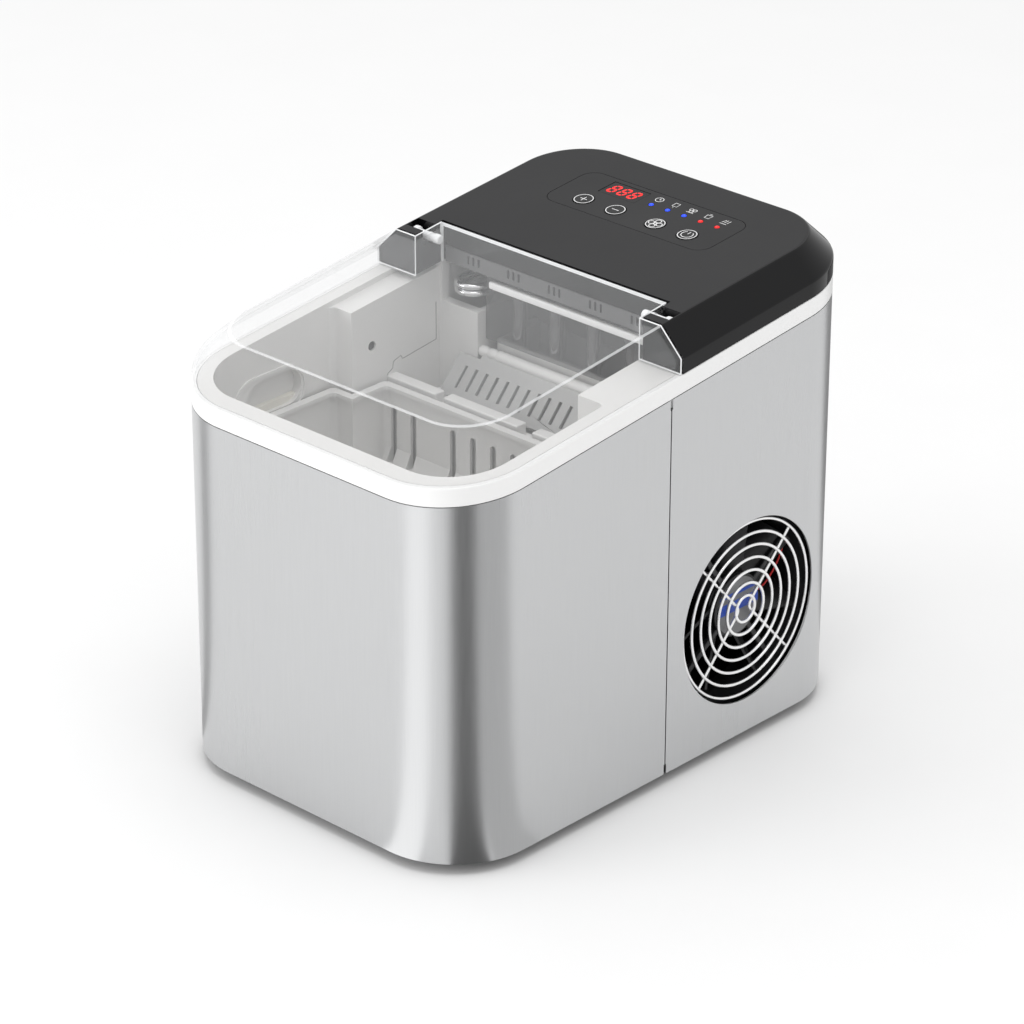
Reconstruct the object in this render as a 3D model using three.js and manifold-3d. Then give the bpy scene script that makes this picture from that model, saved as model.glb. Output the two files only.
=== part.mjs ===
// Countertop ice maker: a stainless body with a white ice bin, a clear hinged lid in front
// and a black control cover behind it, with the refrigeration parts inside.
// Millimetres, +Z up, origin at the bottom centre, front towards -Y.

import * as THREE from 'three';
import { mergeVertices } from 'three/addons/utils/BufferGeometryUtils.js';
import Module from 'manifold-3d';

const wasm = await Module();
wasm.setup();

// ---------------------------------------------------------------- driving dimensions

const BODY_WIDTH = 230;
const BODY_DEPTH = 334;
const BODY_CORNER = 51;
const FOOT_HEIGHT = 7;
const SHELL_FRONT_HEIGHT = 212;
const SHELL_WALL = 1.2;
const GAP = 0.3;
const SEAM_GAP = 0.8;
const SEAM_Y = 0;

const RIM_HEIGHT = 10.7;
const RIM_SLOPE = 0.105;
const RIM_WALL = 3;
const DECK_THICKNESS = 2.4;

const CAP_RISE = 26.5;
const CAP_SLOPE = 0.097;
const CAP_WALL_HEIGHT = 9.6;
const CAP_FRONT_LIP = 2.5;
const CAP_WALL = 2.5;
const CAP_BEVEL_SIDE = 15.2;
const CAP_BEVEL_REAR = 12.7;
const CAP_BEVEL_FRONT = 27;
const CAP_TOP_FRONT_CORNER = 30;
const CAP_TOP_REAR_CORNER = 37;

const LID_SPLIT_Y = 8;
const LID_SLOPE = 0.115;
const LID_WALL = 2.2;
const LID_TAIL_Y = 28.2;
const COVER_FACE_Y = 30.8;
const EAR_WIDTH = 29.2;
const HINGE_Y = 19.5;
const HINGE_HEADROOM = 0.2;
const PIN_RADIUS = 2.4;
const PIN_HEAD_RADIUS = 3.6;
const PIN_INNER_HEAD_RADIUS = 2.8;
const PIN_OUT = 12;
const PIN_IN = 6;

const BIN_WALL = 2.4;
const BIN_SIDE_MARGIN = 12;
const BIN_FRONT_MARGIN = 14;
const BIN_REAR_Y = -14;
const BIN_FLOOR_Z = 45;
const BIN_CORNER = 36;
const BIN_STEP_Y = -41;
const BIN_STEP_DEPTH = 15;
const BIN_LEDGE_WIDTH = 19;
const BASKET_LEDGE_DROP = 81.3;
const BASKET_LEDGE_WIDTH = 5;
const MOUTH_REAR_Y = 30;
const MOUTH_REAR_CORNER = 18;

const SILL_DROP = 33;
const SILL_BLOCK_RISE = 7;
const CHAMBER_FLOOR_DROP = 47;
const TRAY_WELL_DEPTH = 28;
const MOTOR_FLANGE_HALF = 20;
const MOTOR_CLEARANCE = 3;
const MOTOR_BAY_WIDTH = 26;
const MOTOR_BAY_DROP = 41;
const BAY_WALL = 4;

const BASKET_HEIGHT = 54;
const BASKET_WALL = 2;
const BASKET_CLEARANCE = 2.5;
const BASKET_SLOT_WIDTH = 4.6;
const BASKET_SLOT_PITCH = 15.5;
const BASKET_SLOT_TOP = 12;

const PUSHER_BEHIND_MOUTH = 2.6;
const PUSHER_AXIS_DROP = 15.5;
const PUSHER_ANGLE = 48;
const PUSHER_LENGTH = 32;
const PUSHER_THICKNESS = 2.6;
const PUSHER_LEFT_MARGIN = 18;
const PUSHER_WIDTH = 100;
const PUSHER_SLOTS = 11;
const PUSHER_SLOT_PITCH = 8.1;
const PUSHER_SHAFT_RADIUS = 2.4;
const SHIELD_OFFSET = 3.6;
const SHIELD_THICKNESS = 1.8;

const FINGER_COLUMNS = 5;
const FINGER_LEFT_MARGIN = 16;
const FINGER_RIGHT_MARGIN = 12;
const FINGER_RADIUS = 4.3;
const FINGER_ROW_FRONT = 10;
const FINGER_ROW_REAR = 8;
const FINGER_TIP_DROP = 21;
const HEADER_RISE = 21;
const HEADER_RADIUS = 4.2;

const TRAY_RADIUS = 18;
const TRAY_WALL = 1.8;
const TRAY_CLEARANCE = 2;
const TRAY_CENTRE_DROP = 17;
const TRAY_TOP_DROP = 9;
const TRAY_AXIS_DROP = 13;
const TRAY_BOSS_RADIUS = 4;

const FAN_SEAM_MARGIN = 13.75;
const FAN_Z = 84;
const FAN_OPENING_RADIUS = 56;
const FAN_FRAME_MARGIN = 2.5;
const FAN_FRAME_DEPTH = 23;
const FAN_HUB_RADIUS = 18;
const FAN_BLADES = 7;
const GRILLE_RINGS = 7;
const GRILLE_WIRE_RADIUS = 1;
const GRILLE_INNER_RADIUS = 8;
const GRILLE_CLEARANCE = 2.4;
const GRILLE_RECESS = 3;
const V_WIRE_MIDDLE = 3.4;

const COMPRESSOR_RADIUS = 48;
const COMPRESSOR_Y = 66;
const COMPRESSOR_HEADROOM = 11.6;
const GROMMET_HEIGHT = 8;
const GROMMET_RADIUS = 7;
const GROMMET_INSET = 10;
const PLATE_THICKNESS = 2.5;
const PLATE_CORNER = 22;
const CONDENSER_THICKNESS = 24;
const CONDENSER_FINS = 14;

const PANEL_HALF_WIDTH = 60.5;
const PANEL_FRONT_Y = 85;
const PANEL_REAR_Y = 128;
const PANEL_CORNER = 9;
const PANEL_THICKNESS = 1.2;
const KEY_RADIUS = 6.2;
const KEY_Y = 97;
const KEY_TRAVEL = 0.8;
const LED_RADIUS = 1.5;
const LED_Y = 114.4;
const LED_PITCH = 12.3;

const ROUND_STEPS = 8;
const HOLE_STEPS = 16;
const TUBE_SIDES = 8;

// ---------------------------------------------------------------- derived levels

const HALF_WIDTH = BODY_WIDTH / 2;
const HALF_DEPTH = BODY_DEPTH / 2;

const fromFront = (y) => y + HALF_DEPTH;
const shellTop = (y) => FOOT_HEIGHT + SHELL_FRONT_HEIGHT + RIM_SLOPE * fromFront(y);
const rimBottom = (y) => shellTop(y) + GAP + 0.1;
const rimTop = (y) => rimBottom(y) + RIM_HEIGHT;
const capFoot = (y) => rimTop(y) + GAP + 0.1;
const coverTop = (y) => rimTop(-HALF_DEPTH) + CAP_RISE + CAP_SLOPE * fromFront(y);
const lidTop = (y) => coverTop(LID_SPLIT_Y) + LID_SLOPE * (y - LID_SPLIT_Y);

const SHELL_INNER = HALF_WIDTH - SHELL_WALL;
const EAR_INNER_X = HALF_WIDTH - EAR_WIDTH;
const HINGE_Z = coverTop(HINGE_Y) - LID_WALL - PIN_INNER_HEAD_RADIUS - HINGE_HEADROOM;

const BIN_HALF_WIDTH = HALF_WIDTH - BIN_SIDE_MARGIN;
const BIN_FRONT_Y = -HALF_DEPTH + BIN_FRONT_MARGIN;
const CHAMBER_LEFT_X = -(BIN_HALF_WIDTH - BIN_STEP_DEPTH);
const CHAMBER_RIGHT_X = BIN_HALF_WIDTH - BIN_LEDGE_WIDTH;
const TRAY_WALL_X = CHAMBER_LEFT_X + MOTOR_BAY_WIDTH + BAY_WALL;
const PUSHER_AXIS_Y = MOUTH_REAR_Y + PUSHER_BEHIND_MOUTH;
const SHIELD_Y = PUSHER_AXIS_Y + SHIELD_OFFSET;
const TRAY_CENTRE_Y = SHIELD_Y + SHIELD_THICKNESS + TRAY_CLEARANCE + TRAY_RADIUS;
const TRAY_AXIS_Y = TRAY_CENTRE_Y + TRAY_RADIUS;
const CHAMBER_REAR_Y = TRAY_AXIS_Y + MOTOR_FLANGE_HALF + MOTOR_CLEARANCE;

// The levels of the bin and the ice chamber hang from the shell's top edge at the front.
const FRONT_EDGE_Z = shellTop(-HALF_DEPTH);
const BASKET_LEDGE_Z = FRONT_EDGE_Z - BASKET_LEDGE_DROP;
const SILL_Z = FRONT_EDGE_Z - SILL_DROP;
const CHAMBER_FLOOR_Z = FRONT_EDGE_Z - CHAMBER_FLOOR_DROP;
const BAY_FLOOR_Z = FRONT_EDGE_Z - MOTOR_BAY_DROP;
const PUSHER_AXIS_Z = FRONT_EDGE_Z - PUSHER_AXIS_DROP;
const FINGER_TIP_Z = FRONT_EDGE_Z - FINGER_TIP_DROP;
const HEADER_Z = FRONT_EDGE_Z + HEADER_RISE;
const TRAY_CENTRE_Z = FRONT_EDGE_Z - TRAY_CENTRE_DROP;
const TRAY_TOP_Z = FRONT_EDGE_Z - TRAY_TOP_DROP;
const TRAY_AXIS_Z = FRONT_EDGE_Z - TRAY_AXIS_DROP;
const TRAY_WELL_FLOOR_Z = TRAY_CENTRE_Z - TRAY_RADIUS - TRAY_WELL_DEPTH;
const COMPRESSOR_TOP_Z = TRAY_WELL_FLOOR_Z - BIN_WALL - COMPRESSOR_HEADROOM;
const FAN_Y = SEAM_Y + FAN_SEAM_MARGIN + FAN_OPENING_RADIUS;
const FAN_FRAME_HALF = FAN_OPENING_RADIUS + FAN_FRAME_MARGIN;
const GRILLE_PITCH = (FAN_OPENING_RADIUS - GRILLE_CLEARANCE - GRILLE_INNER_RADIUS) / (GRILLE_RINGS - 1);

// ---------------------------------------------------------------- solids

const toManifold = (geometry) => {
  const bare = geometry.clone();
  for (const name of Object.keys(bare.attributes)) {
    if (name !== 'position') bare.deleteAttribute(name);
  }
  const merged = mergeVertices(bare, 1e-4);
  return new wasm.Manifold(new wasm.Mesh({
    numProp: 3,
    vertProperties: new Float32Array(merged.attributes.position.array),
    triVerts: new Uint32Array(merged.index.array),
  }));
};

const toGeometry = (manifold) => {
  const mesh = manifold.getMesh();
  const geometry = new THREE.BufferGeometry();
  geometry.setAttribute('position', new THREE.BufferAttribute(new Float32Array(mesh.vertProperties), 3));
  geometry.setIndex(new THREE.BufferAttribute(new Uint32Array(mesh.triVerts), 1));
  return geometry;
};

const join = (...parts) => toGeometry(parts.map(toManifold).reduce((a, b) => a.add(b)));
const cut = (body, ...tools) => toGeometry(
  tools.map(toManifold).reduce((a, b) => a.subtract(b), toManifold(body)),
);
const common = (...parts) => toGeometry(parts.map(toManifold).reduce((a, b) => a.intersect(b)));

// Turns the faces of a closed triangle mesh outward.
const facingOut = (geometry) => {
  const merged = mergeVertices(geometry.deleteAttribute('uv').deleteAttribute('normal'), 1e-4);
  const p = merged.attributes.position;
  const index = merged.index.array;
  const [a, b, c] = [new THREE.Vector3(), new THREE.Vector3(), new THREE.Vector3()];
  let volume = 0;
  for (let i = 0; i < index.length; i += 3) {
    a.fromBufferAttribute(p, index[i]);
    b.fromBufferAttribute(p, index[i + 1]);
    c.fromBufferAttribute(p, index[i + 2]);
    volume += a.dot(b.cross(c));
  }
  if (volume < 0) index.reverse();
  return merged;
};

const arc = (cx, cy, radius, startDeg, sweepDeg, steps) => {
  const points = [];
  for (let i = 0; i <= steps; i += 1) {
    const angle = THREE.MathUtils.degToRad(startDeg + (sweepDeg * i) / steps);
    points.push([cx + radius * Math.cos(angle), cy + radius * Math.sin(angle)]);
  }
  return points;
};

// A rectangle in plan with rounded front and rear corners, anticlockwise.
const roundedOutline = (x0, x1, y0, y1, front, rear = front) => [
  ...arc(x1 - front, y0 + front, front, -90, 90, ROUND_STEPS),
  ...arc(x1 - rear, y1 - rear, rear, 0, 90, ROUND_STEPS),
  ...arc(x0 + rear, y1 - rear, rear, 90, 90, ROUND_STEPS),
  ...arc(x0 + front, y0 + front, front, 180, 90, ROUND_STEPS),
];

const bodyOutline = (inset) => roundedOutline(
  -HALF_WIDTH + inset, HALF_WIDTH - inset, -HALF_DEPTH + inset, HALF_DEPTH - inset, BODY_CORNER - inset,
);

const rectangle = (x0, x1, y0, y1) => [[x0, y0], [x1, y0], [x1, y1], [x0, y1]];

// Joins equal rings of [x, y, z] points, listed from the bottom up, into one closed body.
const loft = (rings) => {
  const count = rings[0].length;
  const index = [];
  for (let r = 0; r < rings.length - 1; r += 1) {
    for (let i = 0; i < count; i += 1) {
      const a = r * count + i;
      const b = r * count + ((i + 1) % count);
      index.push(a, b, b + count, a, b + count, a + count);
    }
  }
  const capOf = (ring) => THREE.ShapeUtils.triangulateShape(
    ring.map(([x, y]) => new THREE.Vector2(x, y)), [],
  );
  for (const [a, b, c] of capOf(rings[0])) index.push(c, b, a);
  const top = (rings.length - 1) * count;
  for (const [a, b, c] of capOf(rings[rings.length - 1])) index.push(top + a, top + b, top + c);
  const geometry = new THREE.BufferGeometry();
  geometry.setAttribute('position', new THREE.Float32BufferAttribute(rings.flat(2), 3));
  geometry.setIndex(index);
  return geometry;
};

const level = (height) => (typeof height === 'function' ? height : () => height);

// A plan outline carried between two heights; a height may be a function of y.
const slab = (outline, low, high) => loft([low, high].map(
  (height) => outline.map(([x, y]) => [x, y, level(height)(y)]),
));

const block = (x0, x1, y0, y1, z0, z1) => slab(rectangle(x0, x1, y0, y1), z0, z1);

const extrude = (points, length) => new THREE.ExtrudeGeometry(
  new THREE.Shape(points.map(([u, v]) => new THREE.Vector2(u, v))), { depth: length, bevelEnabled: false },
);

const AXES = {
  x: new THREE.Matrix4().makeBasis(
    new THREE.Vector3(0, 1, 0), new THREE.Vector3(0, 0, 1), new THREE.Vector3(1, 0, 0),
  ),
  y: new THREE.Matrix4().makeBasis(
    new THREE.Vector3(0, 0, 1), new THREE.Vector3(1, 0, 0), new THREE.Vector3(0, 1, 0),
  ),
  z: new THREE.Matrix4(),
};

// A side-view outline of [y, z] points carried from x0 to x1.
const sideProfile = (points, x0, x1) => extrude(points, x1 - x0).applyMatrix4(AXES.x).translate(x0, 0, 0);

// A turned body: [radius, distance along the axis] points, starting and ending on the axis.
const turned = (profile, axis, at, steps = HOLE_STEPS) => {
  const lathe = new THREE.LatheGeometry(profile.map(([r, h]) => new THREE.Vector2(r, h)), steps);
  return facingOut(lathe.rotateX(Math.PI / 2)).applyMatrix4(AXES[axis]).translate(...at);
};

const rod = (axis, radius, length, at, steps = HOLE_STEPS) => turned(
  [[0, 0], [radius, 0], [radius, length], [0, length]], axis, at, steps,
);

// A round bar that follows a smooth curve through the points.
const bentRod = (points, radius, steps, sides = TUBE_SIDES) => {
  const path = new THREE.CatmullRomCurve3(points.map((p) => new THREE.Vector3(...p)), false, 'centripetal');
  const section = new THREE.Shape(arc(0, 0, radius, 0, 360 - 360 / sides, sides - 1)
    .map(([u, v]) => new THREE.Vector2(u, v)));
  return facingOut(new THREE.ExtrudeGeometry(section, { steps, extrudePath: path, bevelEnabled: false }));
};

// ---------------------------------------------------------------- materials

const finish = (color, roughness, metalness, extra = {}) => new THREE.MeshStandardMaterial({
  color, roughness, metalness, ...extra,
});

const FINISH = {
  steel: finish(0xc9cbcd, 0.35, 1),
  whitePlastic: finish(0xe9e8e6, 0.4, 0),
  blackSatin: finish(0x3b3b3c, 0.45, 0),
  blackGloss: finish(0x111112, 0.15, 0),
  clear: finish(0xf4f8fa, 0.05, 0, { transparent: true, opacity: 0.25 }),
  smoked: finish(0x3a3c3e, 0.1, 0, { transparent: true, opacity: 0.5 }),
  chrome: finish(0xe6e8ea, 0.1, 1),
  copper: finish(0xb87344, 0.3, 1),
  aluminium: finish(0xb9bcc0, 0.4, 1),
  rubber: finish(0x1c1c1d, 0.85, 0),
  darkPlastic: finish(0x242426, 0.5, 0),
  greyPlastic: finish(0x8b8c8e, 0.5, 0),
  board: finish(0x1f5a35, 0.5, 0),
  foam: finish(0xf2f1ec, 0.9, 0),
  blackPaint: finish(0x151516, 0.4, 0.2),
  blueLight: finish(0x2a5cff, 0.3, 0, { emissive: 0x1030a0 }),
  redLight: finish(0xff2a20, 0.3, 0, { emissive: 0xa01008 }),
};

const machine = new THREE.Group();

const place = (name, geometry, material, position = [0, 0, 0]) => {
  const mesh = new THREE.Mesh(geometry, material);
  mesh.name = name;
  mesh.position.set(...position);
  machine.add(mesh);
  return mesh;
};

// ---------------------------------------------------------------- base and feet

const BASE_BOTTOM_Z = FOOT_HEIGHT + GAP;
const BASE_THICKNESS = 2.5;
const BASE_TOP_Z = BASE_BOTTOM_Z + BASE_THICKNESS;
const FOOT_RADIUS = 13;
const FOOT_INSET_X = 34;
const FOOT_INSET_Y = 40;
const SCREW_INSET_X = 60;
const SCREW_INSET_Y = 24;
const SCREW_RADIUS = 1.6;
const SCREW_HOLE_RADIUS = 2.1;
const SCREW_HEAD_RADIUS = 3.4;
const SCREW_HEAD_HEIGHT = 2.2;

const cornersOf = (insetX, insetY) => [-1, 1].flatMap((sideY) => [-1, 1].map((sideX) => ({
  label: `${sideY < 0 ? 'front' : 'rear'}_${sideX < 0 ? 'left' : 'right'}`,
  x: sideX * (HALF_WIDTH - insetX),
  y: sideY * (HALF_DEPTH - insetY),
})));

function addBase() {
  const screwSpots = cornersOf(SCREW_INSET_X, SCREW_INSET_Y);
  const holes = screwSpots.map(({ x, y }) => rod(
    'z', SCREW_HOLE_RADIUS, BASE_THICKNESS + 2, [x, y, BASE_BOTTOM_Z - 1], 12,
  ));
  const pan = slab(bodyOutline(SHELL_WALL + GAP), BASE_BOTTOM_Z, BASE_TOP_Z);
  place('base_pan', cut(pan, ...holes), FINISH.blackPaint);

  const foot = [[0, 0], [FOOT_RADIUS - 2, 0], [FOOT_RADIUS - 1, 1], [FOOT_RADIUS, FOOT_HEIGHT],
    [0, FOOT_HEIGHT]];
  for (const { label, x, y } of cornersOf(FOOT_INSET_X, FOOT_INSET_Y)) {
    place(`foot_${label}`, turned(foot, 'z', [0, 0, 0]), FINISH.rubber, [x, y, 0]);
  }

  const headBottom = FOOT_HEIGHT - SCREW_HEAD_HEIGHT;
  const screw = [[0, headBottom], [SCREW_HEAD_RADIUS - 0.8, headBottom],
    [SCREW_HEAD_RADIUS, headBottom + 0.8], [SCREW_HEAD_RADIUS, FOOT_HEIGHT], [SCREW_RADIUS, FOOT_HEIGHT],
    [SCREW_RADIUS, BASE_TOP_Z + 5], [0, BASE_TOP_Z + 5]];
  for (const { label, x, y } of screwSpots) {
    place(`base_screw_${label}`, turned(screw, 'z', [0, 0, 0], 12), FINISH.chrome, [x, y, 0]);
  }
}

// ---------------------------------------------------------------- outer shells

const VENT_COLUMNS = 9;
const VENT_ROWS = 2;
const VENT_PITCH = 10;
const VENT_WIDTH = 4;
const VENT_HEIGHT = 42;
const NOTCH_HALF_WIDTH = 1;
const NOTCH_HEIGHT = 6;
const STRIP_THICKNESS = 1.6;
const STRIP_HALF_WIDTH = 7;
const DRAIN_Y = -62;
const DRAIN_Z = 27;
const DRAIN_HEAD_RADIUS = 9;
const INLET_CORNER_MARGIN = 22;
const INLET_X = HALF_WIDTH - BODY_CORNER - INLET_CORNER_MARGIN;
const INLET_Z = 40;
const INLET_HALF_WIDTH = 13.5;
const INLET_HALF_HEIGHT = 10;

function addShells() {
  const wrap = cut(
    slab(bodyOutline(0), FOOT_HEIGHT, shellTop),
    slab(bodyOutline(SHELL_WALL), FOOT_HEIGHT - 1, (y) => shellTop(y) + 1),
  );
  const half = SEAM_GAP / 2;
  const widest = HALF_WIDTH + 1;
  const topNotch = slab(
    rectangle(-widest, widest, SEAM_Y - NOTCH_HALF_WIDTH, SEAM_Y + NOTCH_HALF_WIDTH),
    (y) => shellTop(y) - NOTCH_HEIGHT, (y) => shellTop(y) + 1,
  );
  const bottomNotch = block(-widest, widest, SEAM_Y - NOTCH_HALF_WIDTH, SEAM_Y + NOTCH_HALF_WIDTH,
    FOOT_HEIGHT - 1, FOOT_HEIGHT + NOTCH_HEIGHT);

  const behindSeam = block(-widest, widest, SEAM_Y - half, HALF_DEPTH + 1, 0, 400);
  const drainHole = rod('x', DRAIN_HEAD_RADIUS + 0.8, 10, [-widest, DRAIN_Y, DRAIN_Z]);
  place('front_shell', cut(wrap, behindSeam, topNotch, bottomNotch, drainHole), FINISH.steel);

  const beforeSeam = block(-widest, widest, -HALF_DEPTH - 1, SEAM_Y + half, 0, 400);
  const fanHole = rod('x', FAN_OPENING_RADIUS, 20, [HALF_WIDTH - 10, FAN_Y, FAN_Z], 48);
  const vents = [];
  for (let row = 0; row < VENT_ROWS; row += 1) {
    for (let column = 0; column < VENT_COLUMNS; column += 1) {
      const y = FAN_Y + (column - (VENT_COLUMNS - 1) / 2) * VENT_PITCH;
      const z = FAN_Z + (row - (VENT_ROWS - 1) / 2) * (VENT_HEIGHT + 8);
      vents.push(block(-widest, -widest + 8, y - VENT_WIDTH / 2, y + VENT_WIDTH / 2,
        z - VENT_HEIGHT / 2, z + VENT_HEIGHT / 2));
    }
  }
  const inletHole = block(INLET_X - INLET_HALF_WIDTH, INLET_X + INLET_HALF_WIDTH,
    HALF_DEPTH - 5, HALF_DEPTH + 5, INLET_Z - INLET_HALF_HEIGHT, INLET_Z + INLET_HALF_HEIGHT);
  const rear = cut(wrap, beforeSeam, topNotch, bottomNotch, fanHole, inletHole, ...vents);
  place('rear_shell', rear, FINISH.steel);

  const stripOuter = SHELL_INNER - GAP;
  for (const [label, side] of [['right', 1], ['left', -1]]) {
    const xs = [side * (stripOuter - STRIP_THICKNESS), side * stripOuter].sort((a, b) => a - b);
    const strip = slab(rectangle(...xs, SEAM_Y - STRIP_HALF_WIDTH, SEAM_Y + STRIP_HALF_WIDTH),
      BASE_TOP_Z + 1, (y) => shellTop(y) - 8);
    place(`seam_strip_${label}`, strip, FINISH.darkPlastic);
  }
}

// ---------------------------------------------------------------- white rim, bin and chamber

function addRim() {
  const band = cut(
    slab(bodyOutline(0), rimBottom, rimTop),
    slab(bodyOutline(RIM_WALL), (y) => rimBottom(y) - 1, (y) => rimTop(y) + 1),
  );
  const spigot = cut(
    slab(bodyOutline(SHELL_WALL + GAP), (y) => rimBottom(y) - 6, (y) => rimBottom(y) + 1),
    slab(bodyOutline(RIM_WALL), (y) => rimBottom(y) - 7, (y) => rimBottom(y) + 2),
  );
  place('top_rim', join(band, spigot), FINISH.whitePlastic);
}

const SENSOR_Y = BIN_REAR_Y - 10.8;
const SENSOR_Z = FRONT_EDGE_Z - 4.1;
const SENSOR_RADIUS = 2.6;
const TUBE_RECESS_Z = FRONT_EDGE_Z + 8;
const TUBE_RECESS_RIGHT_X = CHAMBER_LEFT_X + 44;
const FOAM_DROP = 24;

function addTub() {
  const over = (y) => rimTop(y) + 5;
  const under = (y) => rimTop(y) - 1;
  const deck = common(
    slab(bodyOutline(RIM_WALL + GAP), (y) => rimTop(y) - DECK_THICKNESS, rimTop),
    block(-HALF_WIDTH, HALF_WIDTH, -HALF_DEPTH, CHAMBER_REAR_Y + BIN_WALL, 0, 400),
  );
  const binOuter = slab(
    roundedOutline(-BIN_HALF_WIDTH - BIN_WALL, BIN_HALF_WIDTH + BIN_WALL, BIN_FRONT_Y - BIN_WALL,
      BIN_REAR_Y + BIN_WALL, BIN_CORNER + BIN_WALL, 4),
    BIN_FLOOR_Z - BIN_WALL, under,
  );
  const chamberOuter = slab(
    rectangle(CHAMBER_LEFT_X - 5, CHAMBER_RIGHT_X + 5, BIN_REAR_Y, CHAMBER_REAR_Y + BIN_WALL),
    TRAY_WELL_FLOOR_Z - BIN_WALL, under,
  );
  const neckOuter = slab(
    rectangle(-BIN_HALF_WIDTH - BIN_WALL, BIN_HALF_WIDTH + BIN_WALL, BIN_REAR_Y, MOUTH_REAR_Y + 6),
    TRAY_WELL_FLOOR_Z - BIN_WALL, under,
  );

  const narrow = BASKET_LEDGE_WIDTH;
  const reservoir = slab(
    roundedOutline(-BIN_HALF_WIDTH + BIN_STEP_DEPTH, BIN_HALF_WIDTH - BIN_STEP_DEPTH, BIN_FRONT_Y + narrow,
      BIN_REAR_Y - narrow, BIN_CORNER - narrow - 12, 6),
    BIN_FLOOR_Z, BASKET_LEDGE_Z + 1,
  );
  const bin = slab(
    roundedOutline(-BIN_HALF_WIDTH, BIN_HALF_WIDTH, BIN_FRONT_Y, BIN_STEP_Y, BIN_CORNER, 4),
    BASKET_LEDGE_Z, over,
  );
  const binRear = block(CHAMBER_LEFT_X, CHAMBER_RIGHT_X, BIN_STEP_Y - 10, BIN_REAR_Y, BASKET_LEDGE_Z, 400);
  const chamber = block(CHAMBER_LEFT_X, CHAMBER_RIGHT_X, BIN_REAR_Y + 10, MOUTH_REAR_Y,
    CHAMBER_FLOOR_Z, 400);
  const overSill = block(CHAMBER_LEFT_X, CHAMBER_RIGHT_X, BIN_REAR_Y - 5, BIN_REAR_Y + 15, SILL_Z, 400);
  const trayWell = block(TRAY_WALL_X, CHAMBER_RIGHT_X, MOUTH_REAR_Y - 2, CHAMBER_REAR_Y,
    TRAY_WELL_FLOOR_Z, 400);
  const motorBay = block(CHAMBER_LEFT_X, TRAY_WALL_X - BAY_WALL, MOUTH_REAR_Y + 6, CHAMBER_REAR_Y,
    BAY_FLOOR_Z, 400);
  const tubeRecess = block(CHAMBER_LEFT_X + 2, TUBE_RECESS_RIGHT_X, MOUTH_REAR_Y - 2, MOUTH_REAR_Y + 36,
    TUBE_RECESS_Z, 400);
  const tubeExit = block(CHAMBER_LEFT_X + 2, CHAMBER_LEFT_X + 16, CHAMBER_REAR_Y - 5, CHAMBER_REAR_Y + 10,
    TUBE_RECESS_Z + 3, 400);
  const shaftHole = rod('x', TRAY_BOSS_RADIUS + 1, BAY_WALL + 4,
    [TRAY_WALL_X - BAY_WALL - 2, TRAY_AXIS_Y, TRAY_AXIS_Z], 16);
  const mouth = slab(
    roundedOutline(-BIN_HALF_WIDTH, CHAMBER_RIGHT_X, BIN_STEP_Y - 20, MOUTH_REAR_Y, 4, MOUTH_REAR_CORNER),
    (y) => rimTop(y) - DECK_THICKNESS - 1, over,
  );
  const sensorHole = rod('x', SENSOR_RADIUS + GAP, 14, [CHAMBER_LEFT_X - 12, SENSOR_Y, SENSOR_Z], 16);

  const sillBlocks = [
    [CHAMBER_LEFT_X - 1, CHAMBER_LEFT_X + 38], [CHAMBER_LEFT_X + 44, CHAMBER_RIGHT_X - 71],
    [CHAMBER_RIGHT_X - 60, CHAMBER_RIGHT_X - 48], [CHAMBER_RIGHT_X - 24, CHAMBER_RIGHT_X + 1],
  ].map(
    ([x0, x1]) => block(x0, x1, BIN_REAR_Y + 1, BIN_REAR_Y + 9, SILL_Z - 1, SILL_Z + SILL_BLOCK_RISE),
  );
  const hollow = cut(join(deck, binOuter, chamberOuter, neckOuter), reservoir, bin, binRear, chamber,
    overSill, trayWell, motorBay, tubeRecess, tubeExit, shaftHole, mouth, sensorHole);
  place('tub_liner', join(hollow, ...sillBlocks), FINISH.whitePlastic);

  place('ice_sensor', turned(
    [[0, 0], [SENSOR_RADIUS, 0], [SENSOR_RADIUS, 9], [SENSOR_RADIUS - 1, 10], [0, 10.3]],
    'x', [0, 0, 0], 16,
  ), FINISH.blackGloss, [CHAMBER_LEFT_X - 10, SENSOR_Y, SENSOR_Z]);

  const foam = cut(
    slab(bodyOutline(SHELL_WALL + 1), BASE_TOP_Z + 32, FRONT_EDGE_Z - FOAM_DROP),
    slab(roundedOutline(-BIN_HALF_WIDTH - BIN_WALL - GAP, BIN_HALF_WIDTH + BIN_WALL + GAP,
      BIN_FRONT_Y - BIN_WALL - GAP, HALF_DEPTH, BIN_CORNER + BIN_WALL, 4), 0, 400),
    block(-HALF_WIDTH, HALF_WIDTH, SEAM_Y - 12, HALF_DEPTH, 0, 400),
  );
  place('tub_insulation', foam, FINISH.foam);
}

// ---------------------------------------------------------------- basket

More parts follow.
